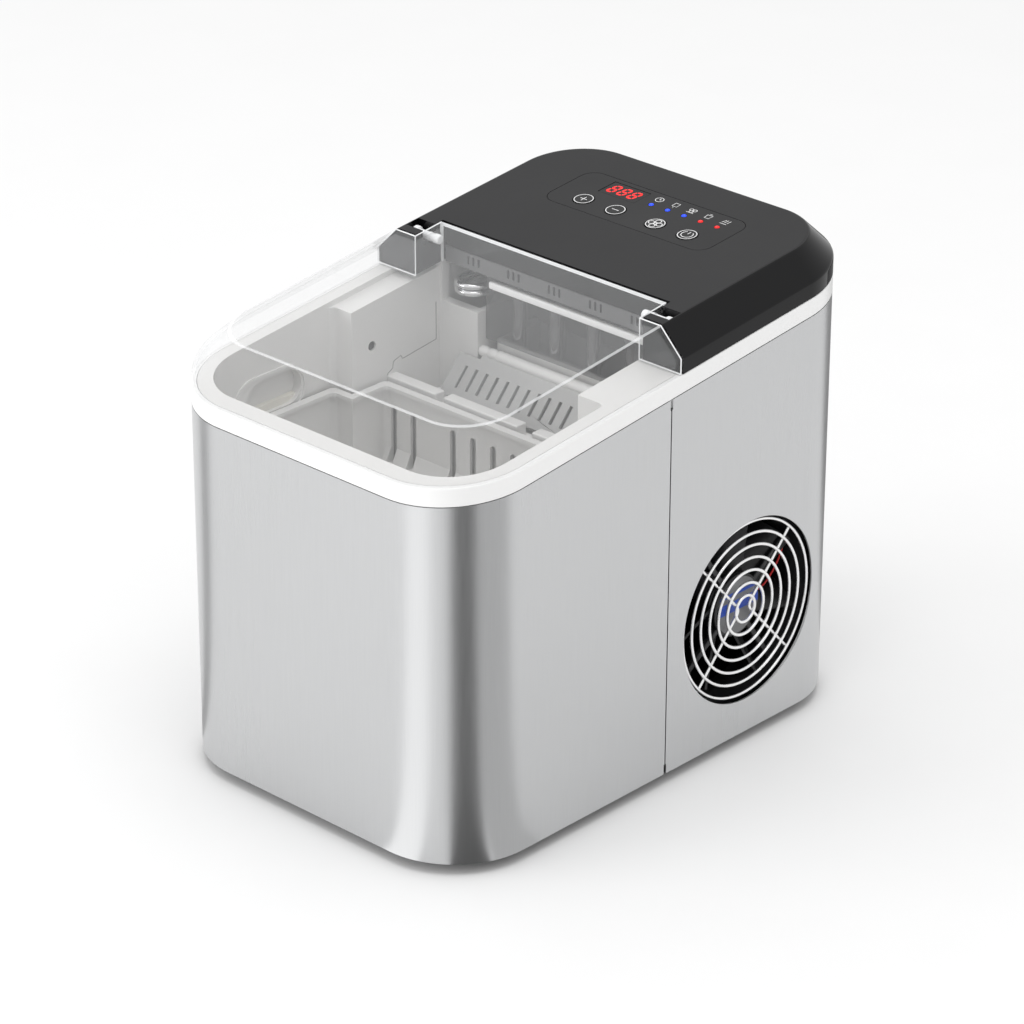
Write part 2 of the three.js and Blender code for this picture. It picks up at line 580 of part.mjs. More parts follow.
function addBasket() {
  const bottom = BASKET_LEDGE_Z + GAP;
  const top = bottom + BASKET_HEIGHT;
  const [x0, x1] = [-BIN_HALF_WIDTH + BASKET_CLEARANCE, BIN_HALF_WIDTH - BASKET_CLEARANCE];
  const [y0, step] = [BIN_FRONT_Y + BASKET_CLEARANCE, BIN_STEP_Y - BASKET_CLEARANCE];
  const y1 = BIN_REAR_Y - BASKET_CLEARANCE;
  const [rearX0, rearX1] = [CHAMBER_LEFT_X + BASKET_CLEARANCE, CHAMBER_RIGHT_X - BASKET_CLEARANCE];
  const corner = BIN_CORNER - BASKET_CLEARANCE;
  const form = (t, low, high) => join(
    slab(roundedOutline(x0 + t, x1 - t, y0 + t, step - t, corner - t, 4), low, high),
    slab(rectangle(rearX0 + t, rearX1 - t, step - t - 10, y1 - t), low, high),
  );
  const slots = [];
  for (let i = -5; i <= 5; i += 1) {
    if (Math.abs(i) !== 3) {
      const x = i * BASKET_SLOT_PITCH;
      slots.push(block(x - BASKET_SLOT_WIDTH / 2, x + BASKET_SLOT_WIDTH / 2, y1 - 24, y1 + 1,
        bottom - 1, top - BASKET_SLOT_TOP));
    }
  }
  const shell = cut(form(0, bottom, top), form(BASKET_WALL, bottom + BASKET_WALL, top + 1));
  const floorSlots = [-2, -1, 0, 1, 2].map((i) => block(i * 30 - 2, i * 30 + 2, y0 + 30, y1 - 36,
    bottom - 1, bottom + BASKET_WALL + 1));
  place('ice_basket', cut(shell, ...slots, ...floorSlots), FINISH.whitePlastic);
}

// ---------------------------------------------------------------- pusher and shield

function addPusher() {
  const angle = THREE.MathUtils.degToRad(PUSHER_ANGLE);
  const [along, up] = [[-Math.cos(angle), -Math.sin(angle)], [-Math.sin(angle), Math.cos(angle)]];
  const at = (distance, height) => [
    PUSHER_AXIS_Y + along[0] * distance + up[0] * height,
    PUSHER_AXIS_Z + along[1] * distance + up[1] * height,
  ];
  const half = PUSHER_THICKNESS / 2;
  const left = CHAMBER_LEFT_X + PUSHER_LEFT_MARGIN;
  const right = left + PUSHER_WIDTH;
  const plate = (from, to, grow) => [at(from, -half - grow), at(from, half + grow), at(to, half + grow),
    at(to, -half - grow)].reverse();
  const wide = sideProfile(plate(5.5, PUSHER_LENGTH, 0), left, right);
  const neck = sideProfile(plate(0, 8, 0), TRAY_WALL_X + 4, right);
  const shaft = rod('x', PUSHER_SHAFT_RADIUS, CHAMBER_RIGHT_X - TRAY_WALL_X - 2 * GAP,
    [TRAY_WALL_X + GAP, PUSHER_AXIS_Y, PUSHER_AXIS_Z], 16);
  const first = (left + right - (PUSHER_SLOTS - 1) * PUSHER_SLOT_PITCH) / 2;
  const slots = Array.from({ length: PUSHER_SLOTS }, (_, i) => {
    const x = first + i * PUSHER_SLOT_PITCH;
    return sideProfile(plate(13, 26, 2), x - 1.1, x + 1.1);
  });
  place('ice_pusher', cut(join(wide, neck, shaft), ...slots), FINISH.greyPlastic);

  const shieldTop = rimTop(MOUTH_REAR_Y) - 3;
  place('evaporator_shield', block(TRAY_WALL_X + GAP, CHAMBER_RIGHT_X - GAP, SHIELD_Y,
    SHIELD_Y + SHIELD_THICKNESS, PUSHER_AXIS_Z + 6, shieldTop), FINISH.smoked);
}

// ---------------------------------------------------------------- evaporator and water tray

const FINGER_FIRST_X = TRAY_WALL_X + FINGER_LEFT_MARGIN;
const FINGER_LAST_X = CHAMBER_RIGHT_X - FINGER_RIGHT_MARGIN;
const FINGER_PITCH = (FINGER_LAST_X - FINGER_FIRST_X) / (FINGER_COLUMNS - 1);
const FINGER_FRONT_Y = TRAY_CENTRE_Y - FINGER_ROW_FRONT;
const FINGER_REAR_Y = TRAY_CENTRE_Y + FINGER_ROW_REAR;
const fingerX = (column) => FINGER_FIRST_X + column * FINGER_PITCH;
const TRAY_LEFT_X = FINGER_FIRST_X - 10;
const TRAY_RIGHT_X = FINGER_LAST_X + 8;

function addEvaporator() {
  const finger = [[0, FINGER_TIP_Z], [FINGER_RADIUS - 1.6, FINGER_TIP_Z + 0.6],
    [FINGER_RADIUS, FINGER_TIP_Z + 3], [FINGER_RADIUS, HEADER_Z], [0, HEADER_Z]];
  const parts = [];
  const headerLeft = FINGER_FIRST_X - 8;
  for (const [y, count, shift] of [
    [FINGER_FRONT_Y, FINGER_COLUMNS, 0], [FINGER_REAR_Y, FINGER_COLUMNS - 1, FINGER_PITCH / 2],
  ]) {
    parts.push(rod('x', HEADER_RADIUS, FINGER_LAST_X + 6 - headerLeft, [headerLeft, y, HEADER_Z], 8));
    for (let i = 0; i < count; i += 1) parts.push(turned(finger, 'z', [fingerX(i) + shift, y, 0], 8));
  }
  parts.push(block(FINGER_LAST_X, FINGER_LAST_X + 6, FINGER_FRONT_Y - 3, FINGER_REAR_Y + 3, HEADER_Z - 4,
    HEADER_Z + 4));
  parts.push(block(headerLeft - 3, headerLeft + 2, FINGER_FRONT_Y - 3, FINGER_REAR_Y + 3, HEADER_Z - 4,
    HEADER_Z + 4));
  place('evaporator', join(...parts), FINISH.aluminium);

  const inner = headerLeft - 3 - GAP;
  const nearX = TRAY_WALL_X - 2;
  const farX = CHAMBER_LEFT_X + 9;
  const bend = (nearX - farX) / 2;
  const bendY = MOUTH_REAR_Y + 9;
  const loopZ = HEADER_Z - 3;
  const hairpin = arc((nearX + farX) / 2, bendY, bend, 0, -180, 6).map(([x, y]) => [x, y, loopZ]);
  place('refrigerant_loop', bentRod([
    [inner, TRAY_CENTRE_Y - 1, HEADER_Z], [inner - 4, TRAY_CENTRE_Y - 1.5, HEADER_Z],
    [nearX, TRAY_CENTRE_Y - 7, loopZ + 1], ...hairpin,
    [farX, TRAY_CENTRE_Y + 2, loopZ], [farX, CHAMBER_REAR_Y + 8, loopZ],
  ], 2.6, 30), FINISH.chrome);
}

function addWaterTray() {
  const trough = (radius, top) => [
    ...arc(TRAY_CENTRE_Y, TRAY_CENTRE_Z, radius, 180, 180, 12),
    [TRAY_CENTRE_Y + radius, top], [TRAY_CENTRE_Y - radius, top],
  ];
  const outer = sideProfile(trough(TRAY_RADIUS, TRAY_TOP_Z), TRAY_LEFT_X, TRAY_RIGHT_X);
  const inner = sideProfile(trough(TRAY_RADIUS - TRAY_WALL, TRAY_TOP_Z + 3), TRAY_LEFT_X + TRAY_WALL,
    TRAY_RIGHT_X - TRAY_WALL);
  const shelf = block(TRAY_LEFT_X, TRAY_RIGHT_X, TRAY_AXIS_Y - 3, TRAY_AXIS_Y, TRAY_AXIS_Z - 4, TRAY_TOP_Z);
  const leftEnd = TRAY_WALL_X + GAP;
  const boss = (x0, x1) => rod('x', TRAY_BOSS_RADIUS, x1 - x0, [x0, TRAY_AXIS_Y, TRAY_AXIS_Z], 16);
  place('water_tray', cut(join(outer, shelf, boss(leftEnd, TRAY_LEFT_X + 2),
    boss(TRAY_RIGHT_X - 2, CHAMBER_RIGHT_X - GAP)), inner), FINISH.whitePlastic);

  const motorRight = TRAY_WALL_X - BAY_WALL - GAP;
  const motorLeft = motorRight - 16;
  const can = rod('x', MOTOR_FLANGE_HALF - 1, 13, [motorLeft, TRAY_AXIS_Y, TRAY_AXIS_Z], 28);
  const flange = block(motorLeft + 12, motorRight, TRAY_AXIS_Y - MOTOR_FLANGE_HALF,
    TRAY_AXIS_Y + MOTOR_FLANGE_HALF, TRAY_AXIS_Z - 6, TRAY_AXIS_Z + 6);
  const shaftStart = motorRight - 1;
  const shaft = rod('x', 2.4, leftEnd - GAP - shaftStart, [shaftStart, TRAY_AXIS_Y, TRAY_AXIS_Z], 12);
  place('tray_motor', join(can, flange, shaft), FINISH.aluminium);
}

const HOOD_RISE = 10;
const HOOD_THICKNESS = 2;
const HOOD_SLOT_HALF_WIDTH = 0.8;
const HOOD_SLOT_CENTRES = [-62, -31, 0, 31, 62];

function addHood() {
  const lift = (y) => rimTop(y) + GAP + 0.1;
  const behindFace = COVER_FACE_Y + CAP_WALL + GAP;
  const hoodTop = (y) => lift(y) + HOOD_THICKNESS;
  const halfWidth = EAR_INNER_X - 2;
  const roof = slab(
    rectangle(CHAMBER_LEFT_X - 4, CHAMBER_RIGHT_X + 4, behindFace, CHAMBER_REAR_Y + 2), lift, hoodTop,
  );
  const front = slab(rectangle(-halfWidth, halfWidth, COVER_FACE_Y, behindFace + 5), lift, hoodTop);
  const face = slab(rectangle(-halfWidth, halfWidth, COVER_FACE_Y, COVER_FACE_Y + HOOD_THICKNESS), lift,
    rimTop(COVER_FACE_Y) + HOOD_RISE);
  const slots = HOOD_SLOT_CENTRES.flatMap((x) => [-4, 0, 4].map((shift) => block(
    x + shift - HOOD_SLOT_HALF_WIDTH, x + shift + HOOD_SLOT_HALF_WIDTH, COVER_FACE_Y - 1, COVER_FACE_Y + 3,
    rimTop(COVER_FACE_Y) + 3.4, rimTop(COVER_FACE_Y) + HOOD_RISE - 1.5,
  )));
  place('chamber_hood', cut(join(roof, front, face), ...slots), FINISH.greyPlastic);
}

// ---------------------------------------------------------------- lid and control cover

// The chamfered cap that the lid and the cover share, drawn inwards by the wall for its inside.
const capForm = (inset, top, floor) => {
  const foot = bodyOutline(inset);
  const crown = roundedOutline(
    -HALF_WIDTH + CAP_BEVEL_SIDE + inset * 0.5, HALF_WIDTH - CAP_BEVEL_SIDE - inset * 0.5,
    -HALF_DEPTH + CAP_BEVEL_FRONT + inset * 0.5, HALF_DEPTH - CAP_BEVEL_REAR - inset * 0.5,
    CAP_TOP_FRONT_CORNER, CAP_TOP_REAR_CORNER,
  );
  const wallHeight = (y) => {
    const t = THREE.MathUtils.clamp(fromFront(y) / BODY_CORNER, 0, 1);
    return CAP_FRONT_LIP + (CAP_WALL_HEIGHT - CAP_FRONT_LIP) * t * t * (3 - 2 * t) - inset * 0.4;
  };
  return loft([
    foot.map(([x, y]) => [x, y, capFoot(y) + floor]),
    foot.map(([x, y]) => [x, y, capFoot(y) + wallHeight(y)]),
    crown.map(([x, y]) => [x, y, top(y) - inset]),
  ]);
};

const LID_END_Y = LID_SPLIT_Y - 0.4;
const EAR_FACE_Y = LID_SPLIT_Y + 0.7;
const LID_TONGUE_X = EAR_INNER_X - 0.8;

function addLid() {
  const region = (t) => slab([
    [-HALF_WIDTH - 1, -HALF_DEPTH - 1], [HALF_WIDTH + 1, -HALF_DEPTH - 1],
    [HALF_WIDTH + 1, LID_END_Y - t], [LID_TONGUE_X - t, LID_END_Y - t],
    [LID_TONGUE_X - t, LID_TAIL_Y + (t ? 5 : 0)], [-LID_TONGUE_X + t, LID_TAIL_Y + (t ? 5 : 0)],
    [-LID_TONGUE_X + t, LID_END_Y - t], [-HALF_WIDTH - 1, LID_END_Y - t],
  ], 0, 400);
  const outer = common(capForm(0, lidTop, 0), region(0));
  const inner = common(capForm(LID_WALL, lidTop, -5), region(LID_WALL));
  const pinHoles = [-1, 1].map((side) => rod('x', PIN_RADIUS + GAP, 12,
    [side * LID_TONGUE_X - 6, HINGE_Y, HINGE_Z], 16));
  const swing = HINGE_Z - capFoot(HINGE_Y) - 0.1;
  const tailCorner = cut(block(-EAR_INNER_X, EAR_INNER_X, HINGE_Y, LID_TAIL_Y + 1, 0, HINGE_Z),
    rod('x', swing, 2 * HALF_WIDTH, [-HALF_WIDTH, HINGE_Y, HINGE_Z], 64));
  place('lid', cut(outer, inner, tailCorner, ...pinHoles), FINISH.clear);

  for (const [label, side] of [['left', -1], ['right', 1]]) {
    const wallOut = 0.3;
    const wallIn = LID_WALL + 0.3;
    const pin = [[0, -wallIn - PIN_IN], [PIN_INNER_HEAD_RADIUS - 1, -wallIn - PIN_IN],
      [PIN_INNER_HEAD_RADIUS, -wallIn - PIN_IN + 1], [PIN_INNER_HEAD_RADIUS, -wallIn - 2],
      [PIN_RADIUS, -wallIn - 2],
      [PIN_RADIUS, wallOut + PIN_OUT - 4], [PIN_HEAD_RADIUS, wallOut + PIN_OUT - 4],
      [PIN_HEAD_RADIUS, wallOut + PIN_OUT - 1], [PIN_HEAD_RADIUS - 1, wallOut + PIN_OUT],
      [0, wallOut + PIN_OUT]];
    const geometry = turned(pin.map(([r, h]) => [r, side * h]), 'x', [0, 0, 0], 10);
    place(`lid_pin_${label}`, geometry, FINISH.clear, [side * LID_TONGUE_X, HINGE_Y, HINGE_Z]);
  }
}

const panelOutline = (grow) => roundedOutline(-PANEL_HALF_WIDTH - grow, PANEL_HALF_WIDTH + grow,
  PANEL_FRONT_Y - grow, PANEL_REAR_Y + grow, PANEL_CORNER + grow);

function addControlCover() {
  const region = (t) => slab([
    [-HALF_WIDTH - 1, EAR_FACE_Y + t], [-EAR_INNER_X - (t ? PIN_OUT + t + 3 : 0), EAR_FACE_Y + t],
    [-EAR_INNER_X - (t ? PIN_OUT + t + 3 : 0), COVER_FACE_Y + t],
    [EAR_INNER_X + (t ? PIN_OUT + t + 3 : 0), COVER_FACE_Y + t],
    [EAR_INNER_X + (t ? PIN_OUT + t + 3 : 0), EAR_FACE_Y + t], [HALF_WIDTH + 1, EAR_FACE_Y + t],
    [HALF_WIDTH + 1, HALF_DEPTH + 1], [-HALF_WIDTH - 1, HALF_DEPTH + 1],
  ], 0, 400);
  const outer = common(capForm(0, coverTop, 0), region(0));
  const inner = common(capForm(CAP_WALL, coverTop, -5), region(CAP_WALL));
  const hoodRoom = block(-EAR_INNER_X, EAR_INNER_X, COVER_FACE_Y - 5, COVER_FACE_Y + CAP_WALL + 1, 0,
    rimTop(COVER_FACE_Y) + HOOD_RISE + GAP);
  const pockets = [-1, 1].map((side) => {
    const xs = [side * (EAR_INNER_X - 1), side * (EAR_INNER_X + PIN_OUT + 1.2)].sort((a, b) => a - b);
    return block(...xs, HINGE_Y - PIN_HEAD_RADIUS - 1.4, HINGE_Y + PIN_HEAD_RADIUS + 1.4,
      HINGE_Z - PIN_HEAD_RADIUS - 1, 400);
  });
  const recess = slab(panelOutline(GAP), (y) => coverTop(y) - PANEL_THICKNESS - GAP, 400);
  const window = slab(panelOutline(-3), (y) => coverTop(y) - 20, 400);
  place('control_cover', cut(outer, inner, hoodRoom, recess, window, ...pockets), FINISH.blackSatin);
}

const KEYS = [['plus', -38.6], ['minus', -14.3], ['ice_size', 15.8], ['power', 39.5]];
const LEDS = [['spare', 0, 'blueLight'], ['ice_making', 1, 'blueLight'], ['clean', 2, 'blueLight'],
  ['ice_full', 3, 'redLight'], ['add_water', 4, 'redLight']];
const LED_FIRST_X = -2.6;
const DISPLAY = { x0: -39, x1: -12, y0: 110, y1: 124.5 };

function addControls() {
  const panelTop = coverTop;
  const panelBottom = (y) => coverTop(y) - PANEL_THICKNESS;
  const through = (x, y, radius) => rod('z', radius, 20, [x, y, coverTop(y) - 10], 14);
  const holes = [
    ...KEYS.map(([, x]) => through(x, KEY_Y, KEY_RADIUS + 0.4)),
    ...LEDS.map(([, i]) => through(LED_FIRST_X + i * LED_PITCH, LED_Y, LED_RADIUS + GAP)),
    slab(rectangle(DISPLAY.x0 - GAP, DISPLAY.x1 + GAP, DISPLAY.y0 - GAP, DISPLAY.y1 + GAP), 200, 400),
  ];
  place('panel_overlay', cut(slab(panelOutline(0), panelBottom, panelTop), ...holes), FINISH.blackSatin);

  const tilt = Math.atan(CAP_SLOPE);
  for (const [label, x] of KEYS) {
    const key = turned([[0, -5.2], [2.2, -5.2], [2.2, -2.4], [KEY_RADIUS, -2.4], [KEY_RADIUS, -0.3],
      [KEY_RADIUS - 0.4, 0], [0, 0]], 'z', [0, 0, 0]).rotateX(tilt);
    place(`key_${label}`, key, FINISH.blackGloss, [x, KEY_Y, coverTop(KEY_Y) + 0.3]);
  }
  for (const [label, i, color] of LEDS) {
    const led = turned([[0, -4.2], [LED_RADIUS, -4.2], [LED_RADIUS, -0.2], [LED_RADIUS - 0.3, 0], [0, 0]],
      'z', [0, 0, 0], 8);
    place(`led_${label}`, led, FINISH[color], [LED_FIRST_X + i * LED_PITCH, LED_Y, coverTop(LED_Y)]);
  }
  place('display_module', slab(rectangle(DISPLAY.x0, DISPLAY.x1, DISPLAY.y0, DISPLAY.y1),
    (y) => coverTop(y) - 5, (y) => coverTop(y) - 0.15), FINISH.blackGloss);

  const boardTop = (y) => coverTop(y) - 5 - KEY_TRAVEL - GAP;
  place('control_board', slab(rectangle(-PANEL_HALF_WIDTH + 4, PANEL_HALF_WIDTH - 4, PANEL_FRONT_Y + 4,
    PANEL_REAR_Y - 2), (y) => boardTop(y) - 1.6, boardTop), FINISH.board);
}

// ---------------------------------------------------------------- fan side

function addFan() {
  const grilleX = HALF_WIDTH - GRILLE_RECESS;
  const wires = Array.from({ length: GRILLE_RINGS }, (_, i) => {
    const radius = GRILLE_INNER_RADIUS + i * GRILLE_PITCH;
    const ring = new THREE.TorusGeometry(radius, GRILLE_WIRE_RADIUS, 4, 12 + 3 * i);
    return facingOut(ring).applyMatrix4(AXES.x).translate(grilleX, FAN_Y, FAN_Z);
  });
  const reach = GRILLE_INNER_RADIUS + (GRILLE_RINGS - 1) * GRILLE_PITCH + 1;
  const vWires = [-1, 1].map((side) => {
    const tip = reach * Math.SQRT1_2;
    const legY = (t) => FAN_Y + side * (V_WIRE_MIDDLE + (tip - V_WIRE_MIDDLE) * t);
    const leg = (sign, t) => [grilleX - 1.4, legY(t), FAN_Z + sign * tip * t];
    return bentRod([leg(1, 1), leg(1, 0.5), leg(1, 0.1), leg(-1, 0.1), leg(-1, 0.5), leg(-1, 1)],
      GRILLE_WIRE_RADIUS, 10, 4);
  });
  place('fan_grille', join(...wires, ...vWires), FINISH.chrome);

  const frameRight = grilleX - 1.4 - GRILLE_WIRE_RADIUS - GAP;
  const frameLeft = frameRight - FAN_FRAME_DEPTH;
  const h = FAN_FRAME_HALF;
  const insideShell = slab(bodyOutline(SHELL_WALL + GAP), 0, 400);
  const strut = (angle) => {
    const bar = block(-1.5, 1.5, -1.7, 1.7, FAN_HUB_RADIUS - 2, FAN_OPENING_RADIUS);
    return bar.rotateX(THREE.MathUtils.degToRad(angle)).translate(frameRight - 2, FAN_Y, FAN_Z);
  };
  const frame = join(
    cut(common(block(frameLeft, frameRight, FAN_Y - h, FAN_Y + h, FAN_Z - h, FAN_Z + h), insideShell),
      rod('x', FAN_OPENING_RADIUS - 1, FAN_FRAME_DEPTH + 4, [frameLeft - 2, FAN_Y, FAN_Z], 48)),
    rod('x', FAN_HUB_RADIUS + 1, 4, [frameRight - 4, FAN_Y, FAN_Z], 28), ...[35, 125, 215, 305].map(strut),
  );
  place('fan_frame', frame, FINISH.darkPlastic);

  const rotorRight = frameRight - 5;
  const blade = (i) => {
    const sheet = block(-0.7, 0.7, -10, 10, FAN_HUB_RADIUS - 2, FAN_OPENING_RADIUS - 6);
    return sheet.rotateZ(0.62).rotateX((i * 2 * Math.PI) / FAN_BLADES);
  };
  const rotor = join(rod('x', FAN_HUB_RADIUS, 15, [-7.5, 0, 0], 28),
    ...Array.from({ length: FAN_BLADES }, (_, i) => blade(i)));
  place('fan_rotor', rotor, FINISH.darkPlastic, [rotorRight - 7.5, FAN_Y, FAN_Z]);

  const condenserRight = frameLeft - 1;
  const condenserLeft = condenserRight - CONDENSER_THICKNESS;
  const pitch = (2 * h) / CONDENSER_FINS;
  const grooves = Array.from({ length: CONDENSER_FINS - 1 }, (_, i) => {
    const y = FAN_Y - h + (i + 1) * pitch;
    return block(condenserRight - 17, condenserRight + 1, y - pitch * 0.36, y + pitch * 0.36,
      FAN_Z - h + 5, FAN_Z + h + 1);
  });
  place('condenser', cut(block(condenserLeft, condenserRight, FAN_Y - h, FAN_Y + h, FAN_Z - h, FAN_Z + h),
    ...grooves), FINISH.aluminium);
  return condenserLeft;
}

// ---------------------------------------------------------------- compressor and pipes

const COMPRESSOR_X = -HALF_WIDTH + SHELL_WALL + 8 + COMPRESSOR_RADIUS;

function addCompressor(condenserLeft) {
  const grommetBottom = BASE_TOP_Z + GAP;
  const plateBottom = grommetBottom + GROMMET_HEIGHT + GAP;
  const plateTop = plateBottom + PLATE_THICKNESS;
  for (let i = 0; i < 3; i += 1) {
    const angle = THREE.MathUtils.degToRad(90 + i * 120);
    place(`compressor_grommet_${i + 1}`, rod('z', GROMMET_RADIUS, GROMMET_HEIGHT, [0, 0, 0]), FINISH.rubber, [
      COMPRESSOR_X + (COMPRESSOR_RADIUS - GROMMET_INSET) * Math.cos(angle),
      COMPRESSOR_Y + (COMPRESSOR_RADIUS - GROMMET_INSET) * Math.sin(angle), grommetBottom]);
  }
  const r = COMPRESSOR_RADIUS;
  const plateOutline = roundedOutline(
    COMPRESSOR_X - r, COMPRESSOR_X + r, COMPRESSOR_Y - r, COMPRESSOR_Y + r, PLATE_CORNER,
  );
  const plate = slab(plateOutline, plateBottom, plateTop);
  place('compressor_plate', plate, FINISH.blackPaint);

  const bottom = plateTop + GAP;
  const middle = (bottom + COMPRESSOR_TOP_Z) / 2;
  const can = [[0, bottom], [r - 18, bottom], [r - 6, bottom + 6], [r - 2, bottom + 20],
    [r - 2, middle - 2], [r, middle - 2], [r, middle + 2], [r - 2, middle + 2],
    [r - 2, COMPRESSOR_TOP_Z - 24],
    [r - 9, COMPRESSOR_TOP_Z - 9], [r - 26, COMPRESSOR_TOP_Z - 1], [0, COMPRESSOR_TOP_Z]];
  place('compressor', turned(can, 'z', [COMPRESSOR_X, COMPRESSOR_Y, 0], 20), FINISH.blackPaint);

  const right = COMPRESSOR_X + r + GAP;
  place('discharge_pipe', bentRod([[right, COMPRESSOR_Y, 62], [right + 14, COMPRESSOR_Y, 64],
    [right + 24, COMPRESSOR_Y, 90], [condenserLeft - 14, COMPRESSOR_Y, 116],
    [condenserLeft - 5, COMPRESSOR_Y, 122], [condenserLeft - 1, COMPRESSOR_Y, 122]], 3, 18), FINISH.copper);

  const farX = CHAMBER_LEFT_X + 9;
  const rear = COMPRESSOR_Y + r + GAP;
  const joint = CHAMBER_REAR_Y + 8 + 2 * GAP;
  place('suction_pipe', bentRod([[farX, joint, HEADER_Z - 3], [farX, joint + 3, HEADER_Z - 3],
    [farX, joint + 10, HEADER_Z - 8], [farX, rear + 16, 215], [farX + 6, rear + 20, 160],
    [COMPRESSOR_X, rear + 20, 120], [COMPRESSOR_X, rear + 10, 98], [COMPRESSOR_X, rear, 96]], 3.6, 22),
  FINISH.copper);

  const drier = [[0, 0], [2, 0], [2, 8], [9, 16], [9, 62], [2, 70], [2, 80], [0, 80]];
  place('filter_drier', turned(drier, 'z', [0, 0, 0], 16), FINISH.copper, [condenserLeft - 22, 132, 34]);

  const valve = join(rod('z', 8, 26, [0, 0, 0], 20), block(-12, 12, -10, 10, 6, 20),
    rod('y', 3, 44, [0, -22, 3.6], 12));
  place('hot_gas_valve', valve, FINISH.aluminium, [condenserLeft - 42, 104, 96]);
}

// ---------------------------------------------------------------- water and power

function addWaterAndPower() {
  const pump = join(rod('z', 15, 26, [0, 0, 0], 24), rod('z', 3, 32, [6, 0, 0], 12),
    block(-17, 17, -9, 9, 0, 4));
  const pumpAt = [COMPRESSOR_X + COMPRESSOR_RADIUS + 24, 10, BASE_TOP_Z + GAP];
  place('water_pump', pump, FINISH.darkPlastic, pumpAt);
  const hoseX = pumpAt[0] + 6;
  const wellUnderside = TRAY_WELL_FLOOR_Z - BIN_WALL;
  place('pump_hose', bentRod([[hoseX, 10, pumpAt[2] + 32 + GAP], [hoseX, 10, 80], [hoseX + 6, 8, 115],
    [hoseX + 6, 12, wellUnderside - 8], [hoseX + 6, 12, wellUnderside - 2 * GAP]], 4, 14), FINISH.foam);

  const spoutX = -BIN_HALF_WIDTH + BIN_STEP_DEPTH + 12;
  const mouthX = -SHELL_INNER + 3;
  const elbow = join(
    rod('z', 7, BIN_FLOOR_Z - BIN_WALL - GAP - DRAIN_Z, [spoutX, DRAIN_Y, DRAIN_Z], 16),
    rod('x', 7, spoutX - mouthX + 4, [mouthX, DRAIN_Y, DRAIN_Z], 16),
  );
  place('drain_spout', cut(elbow, rod('x', 4, spoutX - mouthX - 2, [mouthX - 1, DRAIN_Y, DRAIN_Z], 16)),
    FINISH.whitePlastic);
  const plug = turned([[0, 0], [DRAIN_HEAD_RADIUS - 1, 0], [DRAIN_HEAD_RADIUS, 0.8], [DRAIN_HEAD_RADIUS, 3],
    [3.6, 3], [3.6, 15], [2.6, 16], [0, 16]], 'x', [0, 0, 0]);
  place('drain_plug', plug, FINISH.rubber, [-HALF_WIDTH + 0.5, DRAIN_Y, DRAIN_Z]);

  const wall = HALF_DEPTH - SHELL_WALL;
  const board = join(
    block(-50, 20, wall - 8, wall - 6.4, 70, 150), block(-44, -20, wall - 26, wall - 7, 80, 104),
    block(-12, 8, wall - 20, wall - 7, 84, 100), rod('y', 6, 18, [-34, wall - 25, 126], 16),
    rod('y', 6, 18, [-16, wall - 25, 126], 16), block(0, 14, wall - 18, wall - 7, 116, 136),
  );
  place('power_board', board, FINISH.board);

  const inletBody = join(
    block(INLET_X - INLET_HALF_WIDTH - 5, INLET_X + INLET_HALF_WIDTH + 5, wall - 3, wall - GAP,
      INLET_Z - INLET_HALF_HEIGHT - 5, INLET_Z + INLET_HALF_HEIGHT + 5),
    block(INLET_X - INLET_HALF_WIDTH + GAP, INLET_X + INLET_HALF_WIDTH - GAP, wall - 20, wall + 0.8,
      INLET_Z - INLET_HALF_HEIGHT + GAP, INLET_Z + INLET_HALF_HEIGHT - GAP),
  );
  const socket = block(INLET_X - 11, INLET_X + 11, wall - 14, wall + 5, INLET_Z - 7.5, INLET_Z + 7.5);
  const pins = [-7, 0, 7].map((x) => block(INLET_X + x - 1, INLET_X + x + 1, wall - 15, wall - 4,
    INLET_Z - 2.5, INLET_Z + 2.5));
  place('power_inlet', join(cut(inletBody, socket), ...pins), FINISH.darkPlastic);
}

addBase();
addShells();
addRim();
addTub();
addBasket();
addPusher();
addEvaporator();
addWaterTray();
addHood();
addLid();
addControlCover();
addControls();
addCompressor(addFan());
addWaterAndPower();

export default machine;
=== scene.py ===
import math

import bmesh
import bpy
from mathutils import Matrix, Vector


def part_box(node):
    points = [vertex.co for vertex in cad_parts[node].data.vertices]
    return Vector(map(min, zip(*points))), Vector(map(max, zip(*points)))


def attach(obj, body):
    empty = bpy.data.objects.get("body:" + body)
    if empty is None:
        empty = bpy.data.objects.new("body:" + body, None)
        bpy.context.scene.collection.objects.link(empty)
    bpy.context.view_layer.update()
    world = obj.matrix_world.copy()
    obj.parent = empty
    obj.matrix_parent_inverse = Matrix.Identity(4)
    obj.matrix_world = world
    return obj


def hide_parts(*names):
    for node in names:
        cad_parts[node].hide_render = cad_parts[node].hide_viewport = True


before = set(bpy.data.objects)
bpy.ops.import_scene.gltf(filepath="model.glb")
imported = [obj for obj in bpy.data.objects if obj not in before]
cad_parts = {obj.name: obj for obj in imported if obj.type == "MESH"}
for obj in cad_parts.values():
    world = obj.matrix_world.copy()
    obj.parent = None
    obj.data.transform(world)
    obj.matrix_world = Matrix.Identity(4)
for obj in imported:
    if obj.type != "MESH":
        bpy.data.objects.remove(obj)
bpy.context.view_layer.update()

MM = 0.001


# ---------------------------------------------------------------- places, in millimetres, from the frame

def span(node):
    low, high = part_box(node)
    return low / MM, high / MM


def centre(node):
    low, high = span(node)
    return (low + high) / 2


BODY_LOW, BODY_HIGH = span("rear_shell")
HALF_WIDTH = BODY_HIGH.x
HALF_DEPTH = BODY_HIGH.y
FOOT_HEIGHT = BODY_LOW.z
BODY_CORNER = 51
SHELL_WALL = 1.2
SEAM_GAP = 0.8
GAP = 0.3

